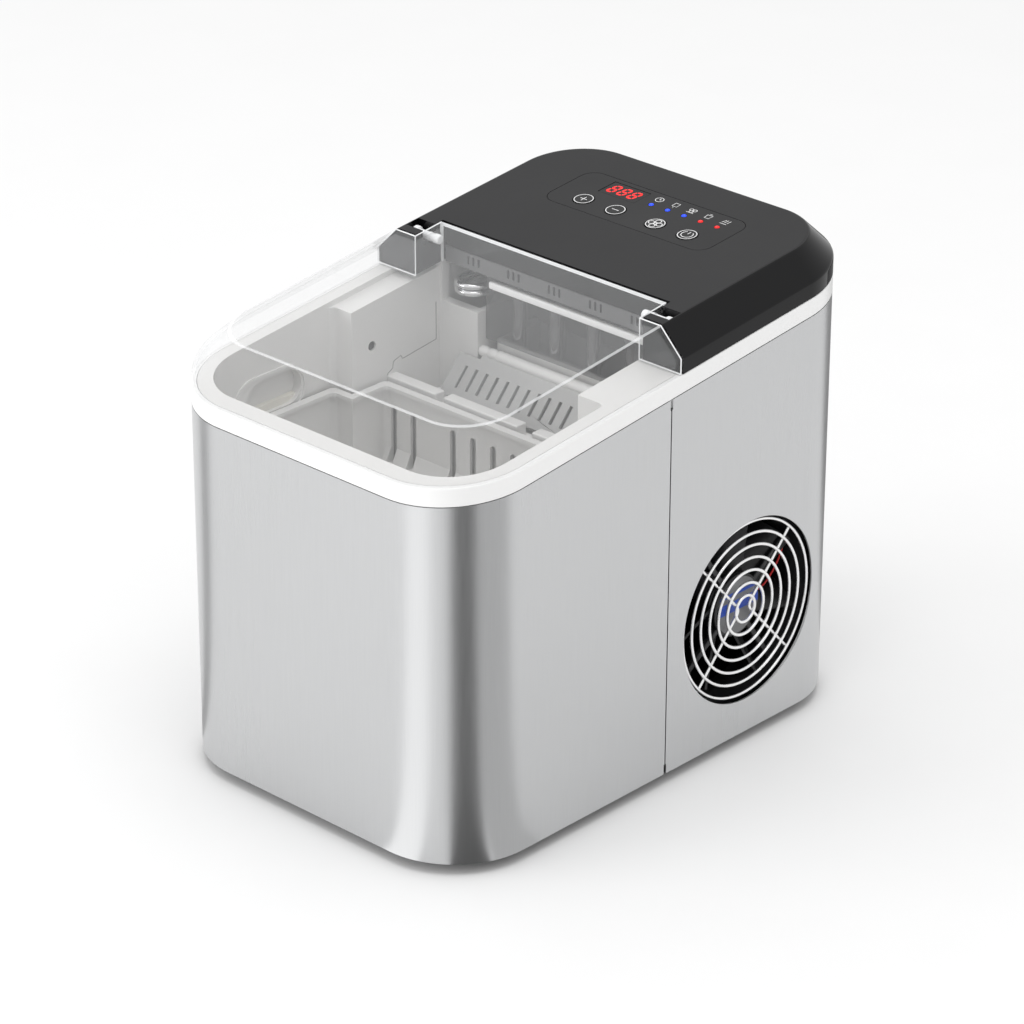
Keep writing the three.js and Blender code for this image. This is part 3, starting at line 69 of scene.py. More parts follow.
RIM_SLOPE = 0.105
RIM_HEIGHT = 10.7
RIM_WALL = 3
SHELL_FRONT_Z = BODY_HIGH.z - RIM_SLOPE * 2 * HALF_DEPTH

CAP_RISE = 26.5
CAP_SLOPE = 0.097
LID_SLOPE = 0.115
LID_SPLIT_Y = 8
LID_END_Y = 7.6
EAR_FACE_Y = 8.7
EAR_INNER_X = HALF_WIDTH - 29.2
TONGUE_X = EAR_INNER_X - 0.8
LID_TAIL_Y = 28.2
COVER_FACE_Y = 30.8
LID_WALL = 2.2
CAP_WALL = 2.5


def from_front(y):
    return y + HALF_DEPTH


def shell_top(y):
    return SHELL_FRONT_Z + RIM_SLOPE * from_front(y)


def rim_bottom(y):
    return shell_top(y) + GAP + 0.1


def rim_top(y):
    return rim_bottom(y) + RIM_HEIGHT


def cap_foot(y):
    return rim_top(y) + GAP + 0.1


def cover_top(y):
    return rim_top(-HALF_DEPTH) + CAP_RISE + CAP_SLOPE * from_front(y)


def lid_top(y):
    return cover_top(LID_SPLIT_Y) + LID_SLOPE * (y - LID_SPLIT_Y)


# ---------------------------------------------------------------- mesh helpers

def link(name, mesh):
    obj = bpy.data.objects.new(name, mesh)
    bpy.context.scene.collection.objects.link(obj)
    return obj


def object_from(name, bm):
    """A new object from a bmesh whose points are in millimetres."""
    bmesh.ops.recalc_face_normals(bm, faces=bm.faces)
    mesh = bpy.data.meshes.new(name)
    bm.to_mesh(mesh)
    bm.free()
    mesh.transform(Matrix.Scale(MM, 4))
    return link(name, mesh)


def baked(obj):
    """Puts the modifiers' result into the object's own mesh."""
    graph = bpy.context.evaluated_depsgraph_get()
    done = bpy.data.meshes.new_from_object(obj.evaluated_get(graph))
    done.name = obj.name
    obj.modifiers.clear()
    obj.data = done
    return obj


def combined(obj, others, operation):
    for other in others:
        modifier = obj.modifiers.new("combine", "BOOLEAN")
        modifier.operation = operation
        modifier.solver = "MANIFOLD"
        modifier.object = other
    baked(obj)
    for other in others:
        bpy.data.objects.remove(other)
    return obj


def carved(obj, *tools):
    return combined(obj, tools, "DIFFERENCE")


def fused(obj, *parts):
    return combined(obj, parts, "UNION")


def trimmed(obj, keep):
    return combined(obj, [keep], "INTERSECT")


def softened(obj, width, segments=2, angle=35):
    modifier = obj.modifiers.new("soft edges", "BEVEL")
    modifier.width = width * MM
    modifier.segments = segments
    modifier.limit_method = "ANGLE"
    modifier.angle_limit = math.radians(angle)
    modifier.harden_normals = True
    return baked(obj)


def smoothed(obj, angle=32):
    for polygon in obj.data.polygons:
        polygon.use_smooth = True
    obj.data.set_sharp_from_angle(angle=math.radians(angle))
    return obj


def finished(obj, body, slot, *nodes, material=None, angle=32):
    smoothed(obj, angle)
    weighted = obj.modifiers.new("flat faces", "WEIGHTED_NORMAL")
    weighted.keep_sharp = True
    baked(obj)
    if material:
        obj.data.materials.clear()
        obj.data.materials.append(material)
        for polygon in obj.data.polygons:
            polygon.material_index = 0
    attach(obj, body)
    if nodes:
        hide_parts(*nodes)
    return obj


def arc(cx, cy, radius, start, sweep, steps):
    points = []
    for i in range(steps + 1):
        angle = math.radians(start + sweep * i / steps)
        points.append((cx + radius * math.cos(angle), cy + radius * math.sin(angle)))
    return points


def rounded(x0, x1, y0, y1, front, rear=None, steps=20):
    rear = front if rear is None else rear
    return (
        arc(x1 - front, y0 + front, front, -90, 90, steps)
        + arc(x1 - rear, y1 - rear, rear, 0, 90, steps)
        + arc(x0 + rear, y1 - rear, rear, 90, 90, steps)
        + arc(x0 + front, y0 + front, front, 180, 90, steps)
    )


def body_outline(inset):
    w, d = HALF_WIDTH - inset, HALF_DEPTH - inset
    return rounded(-w, w, -d, d, BODY_CORNER - inset, steps=24)


def rectangle(x0, x1, y0, y1):
    return [(x0, y0), (x1, y0), (x1, y1), (x0, y1)]


def lofted(name, rings):
    """A closed body through equal rings of (x, y, z) points."""
    bm = bmesh.new()
    rows = [[bm.verts.new(p) for p in ring] for ring in rings]
    count = len(rows[0])
    for low, high in zip(rows, rows[1:]):
        for i in range(count):
            j = (i + 1) % count
            bm.faces.new((low[i], low[j], high[j], high[i]))
    bm.faces.new(list(reversed(rows[0])))
    bm.faces.new(rows[-1])
    return object_from(name, bm)


def slab(name, outline, low, high):
    levels = [z if callable(z) else (lambda y, z=z: z) for z in (low, high)]
    return lofted(name, [[(x, y, z(y)) for x, y in outline] for z in levels])


def block(name, x0, x1, y0, y1, z0, z1):
    return slab(name, rectangle(x0, x1, y0, y1), z0, z1)


def soft_block(name, x0, x1, y0, y1, z0, z1, radius=1.5, segments=3):
    obj = block(name, x0, x1, y0, y1, z0, z1)
    return softened(obj, radius, segments)


AXES = {
    "x": Matrix(((0, 0, 1), (1, 0, 0), (0, 1, 0))),
    "y": Matrix(((0, 1, 0), (0, 0, 1), (1, 0, 0))),
    "z": Matrix.Identity(3),
}


def turned(name, profile, axis, at, steps=48):
    """A turned body from (radius, height) points that start and end on the axis."""
    bm = bmesh.new()
    rings = []
    for radius, height in profile:
        if radius == 0:
            rings.append([bm.verts.new(AXES[axis] @ Vector((0, 0, height)) + Vector(at))])
        else:
            rings.append([
                bm.verts.new(AXES[axis] @ Vector((
                    radius * math.cos(2 * math.pi * i / steps),
                    radius * math.sin(2 * math.pi * i / steps),
                    height,
                )) + Vector(at))
                for i in range(steps)
            ])
    for low, high in zip(rings, rings[1:]):
        for i in range(steps):
            j = (i + 1) % steps
            corners = [low[i % len(low)], low[j % len(low)], high[j % len(high)], high[i % len(high)]]
            bm.faces.new(list(dict.fromkeys(corners)))
    return object_from(name, bm)


def rod(name, axis, radius, length, at, steps=48):
    return turned(name, [(0, 0), (radius, 0), (radius, length), (0, length)], axis, at, steps)


def profile_bar(name, points, x0, x1):
    """A side-view outline of (y, z) points carried from x0 to x1."""
    return lofted(name, [[(x, y, z) for y, z in points] for x in (x0, x1)])


def depth_bar(name, points, y0, y1):
    """A front-view outline of (x, z) points carried from y0 to y1."""
    return lofted(name, [[(x, y, z) for x, z in points] for y in (y0, y1)])


def wire(name, points, radius, smooth=True):
    """A round bar along points, as a mesh."""
    curve = bpy.data.curves.new(name, "CURVE")
    curve.dimensions = "3D"
    curve.bevel_depth = radius * MM
    curve.bevel_resolution = 4
    curve.use_fill_caps = True
    curve.resolution_u = 8
    spline = curve.splines.new("NURBS" if smooth else "POLY")
    spline.points.add(len(points) - 1)
    for point, place in zip(spline.points, points):
        point.co = (*(Vector(place) * MM), 1)
    if smooth:
        spline.order_u = 4
        spline.use_endpoint_u = True
    obj = link(name, curve)
    graph = bpy.context.evaluated_depsgraph_get()
    mesh = bpy.data.meshes.new_from_object(obj.evaluated_get(graph))
    mesh.name = name
    bpy.data.objects.remove(obj)
    return link(name, mesh)


def gathered(name, parts):
    """Several meshes as one piece."""
    bm = bmesh.new()
    for part in parts:
        bm.from_mesh(part.data)
        bpy.data.objects.remove(part)
    mesh = bpy.data.meshes.new(name)
    bm.to_mesh(mesh)
    bm.free()
    return link(name, mesh)


# ---------------------------------------------------------------- materials

def shader_of(material):
    return material.node_tree.nodes["Principled BSDF"]


def new_material(name, color, roughness, **sockets):
    material = bpy.data.materials.new(name)
    material.use_nodes = True
    shader = shader_of(material)
    shader.inputs["Base Color"].default_value = (*color, 1)
    shader.inputs["Roughness"].default_value = roughness
    for socket, value in sockets.items():
        shader.inputs[socket.replace("_", " ")].default_value = value
    return material


def add_node(material, kind, **settings):
    node = material.node_tree.nodes.new(kind)
    for key, value in settings.items():
        setattr(node, key, value)
    return node


def object_coordinates(material, scale):
    coordinates = add_node(material, "ShaderNodeTexCoord")
    mapping = add_node(material, "ShaderNodeMapping")
    mapping.inputs["Scale"].default_value = scale
    material.node_tree.links.new(coordinates.outputs["Object"], mapping.inputs["Vector"])
    return mapping.outputs["Vector"]


def noise(material, scale, stretch=(1, 1, 1), detail=4):
    node = add_node(material, "ShaderNodeTexNoise")
    node.inputs["Scale"].default_value = scale
    node.inputs["Detail"].default_value = detail
    material.node_tree.links.new(object_coordinates(material, stretch), node.inputs["Vector"])
    return node.outputs["Fac"]


def ranged(material, value, low, high, start=0.3, end=0.7):
    node = add_node(material, "ShaderNodeMapRange")
    for socket, number in (("From Min", start), ("From Max", end), ("To Min", low), ("To Max", high)):
        node.inputs[socket].default_value = number
    material.node_tree.links.new(value, node.inputs["Value"])
    return node.outputs["Result"]


def vary_roughness(material, value, low, high):
    shader = shader_of(material)
    material.node_tree.links.new(ranged(material, value, low, high), shader.inputs["Roughness"])


def vary_color(material, value, dark, light):
    ramp = add_node(material, "ShaderNodeValToRGB")
    ramp.color_ramp.elements[0].position = 0.3
    ramp.color_ramp.elements[1].position = 0.7
    ramp.color_ramp.elements[0].color = (*dark, 1)
    ramp.color_ramp.elements[1].color = (*light, 1)
    links = material.node_tree.links
    links.new(value, ramp.inputs["Fac"])
    links.new(ramp.outputs["Color"], shader_of(material).inputs["Base Color"])


def roughen(material, value, strength, distance):
    bump = add_node(material, "ShaderNodeBump")
    bump.inputs["Strength"].default_value = strength
    bump.inputs["Distance"].default_value = distance * MM
    links = material.node_tree.links
    links.new(value, bump.inputs["Height"])
    links.new(bump.outputs["Normal"], shader_of(material).inputs["Normal"])


def moulded(name, color, roughness, spread=0.04, grain=900, bump=0.02, **sockets):
    """Moulded plastic: a fine grain, slightly uneven gloss and colour."""
    material = new_material(name, color, roughness, **sockets)
    cloud = noise(material, 14, detail=3)
    fine = noise(material, grain, detail=5)
    vary_color(material, cloud, [c * (1 - spread) for c in color], [min(1, c * (1 + spread)) for c in color])
    vary_roughness(material, cloud, roughness * 0.88, roughness * 1.14)
    roughen(material, fine, 0.12, bump)
    return material


def brushed(name, color, roughness, stretch=(1, 1, 0.012), scale=2600, tilt=0.02):
    """Metal brushed along its longest stretch."""
    material = new_material(name, color, roughness, Metallic=1.0)
    lines = noise(material, scale, stretch, detail=6)
    cloud = noise(material, 6, detail=2)
    vary_color(material, lines, [c * 0.98 for c in color], [min(1, c * 1.02) for c in color])
    mix = add_node(material, "ShaderNodeMath", operation="ADD")
    material.node_tree.links.new(ranged(material, lines, -tilt, tilt), mix.inputs[0])
    material.node_tree.links.new(ranged(material, cloud, roughness * 0.92, roughness * 1.1), mix.inputs[1])
    material.node_tree.links.new(mix.outputs["Value"], shader_of(material).inputs["Roughness"])
    roughen(material, lines, 0.02, 0.01)
    return material


def polished(name, color, roughness, scale=60):
    material = new_material(name, color, roughness, Metallic=1.0)
    smear = noise(material, scale, detail=5)
    vary_color(material, smear, [c * 0.94 for c in color], [min(1, c * 1.04) for c in color])
    vary_roughness(material, smear, roughness * 0.7, roughness * 1.6)
    return material


def clear_plastic(name, color, roughness, facing, grazing):
    """Clear sheet plastic: almost nothing when seen square on, and a sheen when seen along the sheet."""
    material = new_material(name, color, roughness)
    smear = noise(material, 35, detail=4)
    vary_color(material, smear, [c * 0.97 for c in color], color)
    vary_roughness(material, smear, roughness * 0.6, roughness * 1.8)
    weight = add_node(material, "ShaderNodeLayerWeight")
    weight.inputs["Blend"].default_value = 0.35
    cover = ranged(material, weight.outputs["Facing"], facing, grazing, 0.35, 1.0)
    material.node_tree.links.new(cover, shader_of(material).inputs["Alpha"])
    return material


BLACK_SHEEN = 0.22
GLOSS_ROUGHNESS = 0.07
UPWARD_FROM = 0.90
UPWARD_FULL = 0.97


def satin_top(name, satin, gloss, roughness):
    """Black plastic with a fine matt texture on its upward faces and a glossy finish on its slopes."""
    material = new_material(name, satin, roughness, Specular_IOR_Level=BLACK_SHEEN)
    links = material.node_tree.links
    geometry = add_node(material, "ShaderNodeNewGeometry")
    split = add_node(material, "ShaderNodeSeparateXYZ")
    links.new(geometry.outputs["Normal"], split.inputs["Vector"])
    vary = ranged(material, split.outputs["Z"], 0.0, 1.0, UPWARD_FROM, UPWARD_FULL)
    vary_color(material, vary, gloss, satin)
    cloud = noise(material, 30)
    rough = add_node(material, "ShaderNodeMath", operation="MULTIPLY_ADD")
    links.new(cloud, rough.inputs[0])
    rough.inputs[1].default_value = 0.06
    links.new(ranged(material, vary, GLOSS_ROUGHNESS, roughness, 0.0, 1.0), rough.inputs[2])
    links.new(rough.outputs["Value"], shader_of(material).inputs["Roughness"])
    roughen(material, noise(material, 900, detail=5), 0.10, 0.01)
    return material


def lit(material, color, strength):
    shader = shader_of(material)
    shader.inputs["Emission Color"].default_value = (*color, 1)
    shader.inputs["Emission Strength"].default_value = strength
    return material


def glowing(name, color, strength):
    return lit(moulded(name, color, 0.25, spread=0.02), color, strength)


STEEL = brushed("brushed_steel", (0.585, 0.59, 0.595), 0.30)
WHITE = moulded("white_plastic", (0.74, 0.735, 0.725), 0.38, spread=0.015)
RIM_WHITE = moulded("rim_white", (0.88, 0.88, 0.875), 0.32, spread=0.012)
SATIN = moulded("black_satin", (0.021, 0.021, 0.022), 0.45, spread=0.05, Specular_IOR_Level=BLACK_SHEEN)
GLOSS = moulded("black_gloss", (0.0045, 0.0045, 0.005), 0.10, spread=0.05, bump=0.004,
                Specular_IOR_Level=0.25)
COVER = satin_top("cover_black", (0.021, 0.021, 0.022), (0.004, 0.004, 0.0045), 0.45)
CLEAR = clear_plastic("clear_lid", (0.80, 0.81, 0.82), 0.05, 0.05, 0.5)
# A whiter, more opaque copy of the clear lid plastic: a painted highlight on the lid's rounded crown edge.
BEND_HIGHLIGHT = clear_plastic("lid_bend_highlight", (0.95, 0.96, 0.97), 0.08, 0.45, 0.9)
BASKET_WHITE = moulded("basket_white", (0.70, 0.695, 0.685), 0.42, spread=0.015)
PUSHER_GREY = moulded("pusher_grey", (0.46, 0.46, 0.455), 0.42, spread=0.03)
# Opaque white: the real white of the hinge knobs, and a painted highlight on the lid's cut edges and edge
# lines.
EDGE_HIGHLIGHT_AND_KNOB_WHITE = moulded("lid_edge_highlight_and_knob_white", (0.95, 0.96, 0.97), 0.12, spread=0.01, bump=0.004)
SMOKED = clear_plastic("smoked_sheet", (0.12, 0.12, 0.122), 0.08, 0.34, 0.60)
CHROME = polished("chrome", (0.82, 0.82, 0.83), 0.10)
WIRE_CHROME = polished("bright_wire", (0.95, 0.95, 0.95), 0.28)
COPPER = polished("copper", (0.75, 0.36, 0.2), 0.25)
ALUMINIUM = brushed("aluminium", (0.6, 0.61, 0.62), 0.36, stretch=(1, 1, 1), scale=400)
BLACK_FINS = brushed("black_fins", (0.03, 0.03, 0.032), 0.4, stretch=(1, 1, 1), scale=400)
RUBBER = moulded("rubber", (0.018, 0.018, 0.019), 0.8, spread=0.2, grain=500, bump=0.06)
BLACK_PLASTIC = moulded("dark_plastic", (0.014, 0.014, 0.015), 0.35, spread=0.15)
HOOD_GREY = moulded("hood_grey", (0.13, 0.13, 0.132), 0.4, spread=0.06)
LABEL_GREY = moulded("hub_grey", (0.22, 0.22, 0.225), 0.4, spread=0.08)
LABEL_BLUE = moulded("hub_blue", (0.02, 0.08, 0.50), 0.4, spread=0.1)
WIRE_RED = moulded("wire_red", (0.55, 0.01, 0.01), 0.4, spread=0.05)
# Dark grey for painted shade lines on the white tub wall.
SHADE_LINE_GREY = moulded("painted_shade_line", (0.16, 0.16, 0.16), 0.8, spread=0.05)
BOARD = moulded("board", (0.02, 0.14, 0.05), 0.45, spread=0.2)
FOAM = moulded("foam", (0.78, 0.76, 0.70), 0.85, spread=0.06, grain=300, bump=0.25)
BLACK_PAINT = moulded("black_paint", (0.012, 0.012, 0.013), 0.35, spread=0.2, grain=300, bump=0.05)
BLUE = glowing("blue_light", (0.006, 0.05, 0.85), 1.0)
RED = glowing("red_light", (0.72, 0.004, 0.004), 0.9)
PRINT = moulded("white_print", (0.85, 0.85, 0.85), 0.5, spread=0.02)


def paint_node(node, material):
    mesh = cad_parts[node].data
    mesh.materials.clear()
    mesh.materials.append(material)


# ---------------------------------------------------------------- camera, floor and light

CAMERA_AZIMUTH = math.radians(43.216)
CAMERA_ELEVATION = math.radians(25.815)
CAMERA_ROLL = math.radians(0.123)
CAMERA_AIM = (-2.72, 0, 130.62)
CAMERA_DISTANCE = 2.45866
CAMERA_LENS = 153.25


def add_camera():
    level = math.cos(CAMERA_ELEVATION)
    back = Vector((math.sin(CAMERA_AZIMUTH) * level, -math.cos(CAMERA_AZIMUTH) * level,
                   math.sin(CAMERA_ELEVATION)))
    data = bpy.data.cameras.new("camera")
    data.sensor_width = 36
    data.lens = CAMERA_LENS
    data.clip_end = 50
    camera = link("camera", data)
    turn = back.to_track_quat("Z", "Y").to_matrix() @ Matrix.Rotation(CAMERA_ROLL, 3, "Z")
    place = Matrix.Translation(Vector(CAMERA_AIM) * MM + back * CAMERA_DISTANCE)
    camera.matrix_world = place @ turn.to_4x4()
    bpy.context.scene.camera = camera


def add_area(name, place, target, width, height, power):
    data = bpy.data.lights.new(name, "AREA")
    data.shape = "RECTANGLE"
    data.size = width
    data.size_y = height
    data.energy = power
    light = link(name, data)
    direction = Vector(place) - Vector(target)
    turn = direction.to_track_quat("Z", "Y").to_matrix().to_4x4()
    light.matrix_world = Matrix.Translation(Vector(place)) @ turn
    return light


# Cards lie just above the floor round the machine, hidden from the camera; only shiny surfaces show them.
# Each fans out from a body corner: the corner's x side and y side, its direction in degrees (front 0,
# right 90), half its spread and its light.
CARDS = (
    (-1, -1, -70, 9, 0.45),
    (1, -1, 2, 14, 1.45),
    (1, -1, 55, 15, 0.12),
    (1, -1, 92, 18, 0.62),
    (1, 1, 194, 20, 0.25),
)
CARD_REACH = 1500
CARD_HEIGHT = 0.3

FLOOR_HALF_SIZE = 6000
WORLD_LIGHT = 0.88
KEY_POWER = 40
TOP_POWER = 14
LIGHT_TARGET = (0, 0, 0.15)


def add_card(side_x, side_y, angle, spread, light):
    x = side_x * (HALF_WIDTH - BODY_CORNER)
    y = side_y * (HALF_DEPTH - BODY_CORNER)
    bm = bmesh.new()
    corners = []
    near, far = BODY_CORNER, CARD_REACH
    for turn, reach in ((-spread, near), (-spread, far), (spread, far), (spread, near)):
        direction = math.radians(angle + turn)
        corner = (x + math.sin(direction) * reach, y - math.cos(direction) * reach, CARD_HEIGHT)
        corners.append(bm.verts.new(corner))
    bm.faces.new(corners)
    card = object_from("studio_card", bm)
    material = new_material("card", (0, 0, 0), 1.0, Specular_IOR_Level=0.0)
    card.data.materials.append(lit(material, (1, 1, 1), light))
    for kind in ("camera", "diffuse", "transmission", "shadow"):
        setattr(card, f"visible_{kind}", False)


def add_stage():
    bm = bmesh.new()
    bmesh.ops.create_grid(bm, x_segments=2, y_segments=2, size=FLOOR_HALF_SIZE)
    floor = object_from("floor", bm)
    floor.data.materials.append(
        moulded("floor_white", (0.90, 0.90, 0.90), 0.7, spread=0.004, Specular_IOR_Level=0.0)
    )
    for card in CARDS:
        add_card(*card)

    world = bpy.data.worlds.new("studio")
    bpy.context.scene.world = world
    world.use_nodes = True
    tree = world.node_tree
    tree.nodes["Background"].inputs["Strength"].default_value = WORLD_LIGHT
    seen = tree.nodes.new("ShaderNodeBackground")
    path = tree.nodes.new("ShaderNodeLightPath")
    mix = tree.nodes.new("ShaderNodeMixShader")
    tree.nodes["Background"].inputs["Color"].default_value = (1, 1, 1, 1)
    seen.inputs["Color"].default_value = (1, 1, 1, 1)
    tree.links.new(path.outputs["Is Camera Ray"], mix.inputs["Fac"])
    tree.links.new(tree.nodes["Background"].outputs["Background"], mix.inputs[1])
    tree.links.new(seen.outputs["Background"], mix.inputs[2])
    tree.links.new(mix.outputs["Shader"], tree.nodes["World Output"].inputs["Surface"])

    bpy.context.scene.view_settings.view_transform = "Standard"
    add_area("key", (-1.9, -2.7, 0.75), LIGHT_TARGET, 2.0, 1.0, KEY_POWER)
    add_area("top", (0.3, -0.2, 2.4), LIGHT_TARGET, 1.4, 1.4, TOP_POWER)


add_camera()
add_stage()


# ---------------------------------------------------------------- outer shells

def half_space(name, y0, y1):
    wide = HALF_WIDTH + 20
    return block(name, -wide, wide, y0, y1, -20, 400)


def shell_wrap(name):
    wrap = slab(name, body_outline(0), FOOT_HEIGHT, shell_top)
    hollow = slab("hollow", body_outline(SHELL_WALL), FOOT_HEIGHT - 1, lambda y: shell_top(y) + 1)
    return carved(wrap, hollow)


NOTCH_HEIGHT = 6


def notches():
    wide = HALF_WIDTH + 1
    across = rectangle(-wide, wide, -1, 1)
    return [
        slab("notch", across, lambda y: shell_top(y) - NOTCH_HEIGHT, lambda y: shell_top(y) + 2),
        slab("notch", across, FOOT_HEIGHT - 2, FOOT_HEIGHT + NOTCH_HEIGHT),
    ]


FAN_LOW, FAN_HIGH = span("fan_frame")
_, FAN_Y, FAN_Z = centre("fan_frame")
FAN_OPENING = (FAN_HIGH.y - FAN_LOW.y) / 2 - 2.5
PLUG = centre("drain_plug")
INLET = centre("power_inlet")
VENT_ROWS = 2
VENT_COLUMNS = 9
VENT_PITCH = 10
VENT_ROW_PITCH = 50
VENT_HEIGHT = 42
VENT_WIDTH = 4
PLUG_HOLE_RADIUS = 9.8


def slot_cutter(x, y, z, height):
    half = VENT_WIDTH / 2
    reach = height / 2 - half
    outline = arc(y, z + reach, half, 0, 180, 8) + arc(y, z - reach, half, 180, 180, 8)
    return profile_bar("slot", outline, x, x + 8)


def add_shells():
    front = carved(
        shell_wrap("front_panel"), half_space("behind", -SEAM_GAP / 2, 400), *notches(),
        rod("hole", "x", PLUG_HOLE_RADIUS, 20, (-HALF_WIDTH - 5, PLUG.y, PLUG.z)),
    )
    vents = [
        slot_cutter(-HALF_WIDTH - 2, FAN_Y + (column - (VENT_COLUMNS - 1) / 2) * VENT_PITCH,
                    FAN_Z + (row - (VENT_ROWS - 1) / 2) * VENT_ROW_PITCH, VENT_HEIGHT)
        for row in range(VENT_ROWS) for column in range(VENT_COLUMNS)
    ]
    rear = carved(
        shell_wrap("rear_panel"), half_space("before", -400, SEAM_GAP / 2), *notches(),
        rod("opening", "x", FAN_OPENING, 20, (HALF_WIDTH - 10, FAN_Y, FAN_Z), steps=144),
        block("inlet_hole", INLET.x - 13.5, INLET.x + 13.5, HALF_DEPTH - 5, HALF_DEPTH + 5,
              INLET.z - 10, INLET.z + 10),
        *vents,
    )
    finished(front, "machine", "steel", "front_shell", material=STEEL)
    finished(rear, "machine", "steel", "rear_shell", material=STEEL)


add_shells()
for side in ("left", "right"):
    paint_node(f"seam_strip_{side}", BLACK_PLASTIC)


# ---------------------------------------------------------------- white rim

def add_rim():
    rings = []
    for inset, rise in ((0.0, 0.25), (0.12, 0.07), (0.35, 0)):
        rings.append((inset, lambda y, r=rise: rim_bottom(y) + r))
    low = [[(x, y, z(y)) for x, y in body_outline(inset)] for inset, z in reversed(rings)]
    high = []
    for inset, drop in ((0.0, 0.9), (0.12, 0.4), (0.4, 0.12), (0.9, 0)):
        high.append([(x, y, rim_top(y) - drop) for x, y in body_outline(inset)])
    band = lofted("rim_band", low + high)
    hollow = slab("hollow", body_outline(RIM_WALL), lambda y: rim_bottom(y) - 1, lambda y: rim_top(y) + 1)
    band = carved(band, hollow)
    spigot = carved(
        slab("spigot", body_outline(SHELL_WALL + GAP), lambda y: rim_bottom(y) - 6,
             lambda y: rim_bottom(y) + 1),
        slab("hollow", body_outline(RIM_WALL), lambda y: rim_bottom(y) - 7, lambda y: rim_bottom(y) + 2),
    )
    finished(fused(band, spigot), "machine", "white_plastic", "top_rim", material=RIM_WHITE, angle=40)


add_rim()


# ---------------------------------------------------------------- the cap: black cover and clear lid

CAP_LIP = 2.5
CAP_WALL_HEIGHT = 9.6
BEVEL_SIDE = 15.2
BEVEL_REAR = 12.7
BEVEL_FRONT = 27
CROWN_FRONT_CORNER = 30
CROWN_REAR_CORNER = 37
LID_EDGE = 0.38
PIN_OUT = 12
PIN_HEAD = 3.6
HINGE = centre("lid_pin_left")
TILT = math.atan(CAP_SLOPE)


def crown_outline(inset):
    return rounded(
        -HALF_WIDTH + BEVEL_SIDE + inset, HALF_WIDTH - BEVEL_SIDE - inset,
        -HALF_DEPTH + BEVEL_FRONT + inset, HALF_DEPTH - BEVEL_REAR - inset,
        CROWN_FRONT_CORNER, CROWN_REAR_CORNER, steps=24,
    )


def wall_height(y):
    t = min(max(from_front(y) / BODY_CORNER, 0), 1)
    return CAP_LIP + (CAP_WALL_HEIGHT - CAP_LIP) * t * t * (3 - 2 * t)


def toward(row, other, distance):
    moved = []
    for here, there in zip(row, other):
        way = (Vector(there) - Vector(here)).normalized() * distance
        moved.append(tuple(Vector(here) + way))
    return moved


def rounded_rows(start, corner, end, steps=3):
    """Rows of points that turn smoothly from one row to another round a corner row."""
    rows = []
    for i in range(steps + 1):
        t = i / steps
        weights = ((1 - t) ** 2, 2 * t * (1 - t), t * t)
        rows.append([
            tuple(sum(w * p[axis] for w, p in zip(weights, points)) for axis in range(3))
            for points in zip(start, corner, end)
        ])
    return rows


def cap_form(name, inset, top, floor, soft):
    foot = body_outline(inset)
    low = [(x, y, cap_foot(y) + floor) for x, y in foot]
    wall = [(x, y, cap_foot(y) + wall_height(y) - inset * 0.4) for x, y in foot]
    edge = [(x, y, top(y) - inset) for x, y in crown_outline(inset * 0.5)]
    flat = [(x, y, top(y) - inset) for x, y in crown_outline(inset * 0.5 + soft)]
    rows = [low]
    rows += rounded_rows(toward(wall, low, soft), wall, toward(wall, edge, soft))
    rows += rounded_rows(toward(edge, wall, soft), edge, flat)
    return lofted(name, rows)


def slotted(obj, materials, index=0):
    for material in materials:
        obj.data.materials.append(material)
    for polygon in obj.data.polygons:
        polygon.material_index = index
    return obj


def add_cover():
    def region(t):
        inner = EAR_INNER_X + (PIN_OUT + t + 3 if t else 0)
        wide = HALF_WIDTH + 1
        return slab("region", [
            (-wide, EAR_FACE_Y + t), (-inner, EAR_FACE_Y + t), (-inner, COVER_FACE_Y + t),
            (inner, COVER_FACE_Y + t), (inner, EAR_FACE_Y + t), (wide, EAR_FACE_Y + t),
            (wide, HALF_DEPTH + 1), (-wide, HALF_DEPTH + 1),
        ], 0, 400)

    cover = trimmed(cap_form("cover", 0, cover_top, 0, 1.4), region(0))
    hollow = trimmed(cap_form("hollow", CAP_WALL, cover_top, -5, 0.5), region(CAP_WALL))
    hood_room = block("room", -EAR_INNER_X, EAR_INNER_X, COVER_FACE_Y - 5, COVER_FACE_Y + CAP_WALL + 1, 0,
                      rim_top(COVER_FACE_Y) + 10.3)
    pockets = []
    for side in (-1, 1):
        x0, x1 = sorted((side * (EAR_INNER_X - 1), side * (EAR_INNER_X + PIN_OUT + 1.2)))
        pockets.append(block("pocket", x0, x1, HINGE.y - PIN_HEAD - 1.4, HINGE.y + PIN_HEAD + 1.4,
                             HINGE.z - PIN_HEAD - 1, 400))
    recess = slab("recess", panel_outline(0.35), lambda y: cover_top(y) - 1.6, 400)
    window = slab("window", panel_outline(-3), lambda y: cover_top(y) - 20, 400)
    cover = carved(cover, hollow, hood_room, recess, window, *pockets)
    finished(cover, "machine", "black_satin", "control_cover", material=COVER, angle=28)


PANEL_LOW, PANEL_HIGH = span("panel_overlay")
PANEL_CORNER = 9


def panel_outline(grow):
    return rounded(PANEL_LOW.x - grow, PANEL_HIGH.x + grow, PANEL_LOW.y - grow, PANEL_HIGH.y + grow,
                   PANEL_CORNER + grow, steps=12)


KEYS = ("plus", "minus", "ice_size", "power")
BLUE_LEDS = ("spare", "ice_making", "clean")
RED_LEDS = ("ice_full", "add_water")
KEY_RADIUS = 6.2
LED_RADIUS = 1.5
KEY_PRINT_WIDTH = 0.5
ICON_PRINT_WIDTH = 0.42
PRINT_FLATNESS = 0.12


def panel_hole(at, radius, steps):
    return rod("hole", "z", radius, 20, (at.x, at.y, cover_top(at.y) - 10), steps)


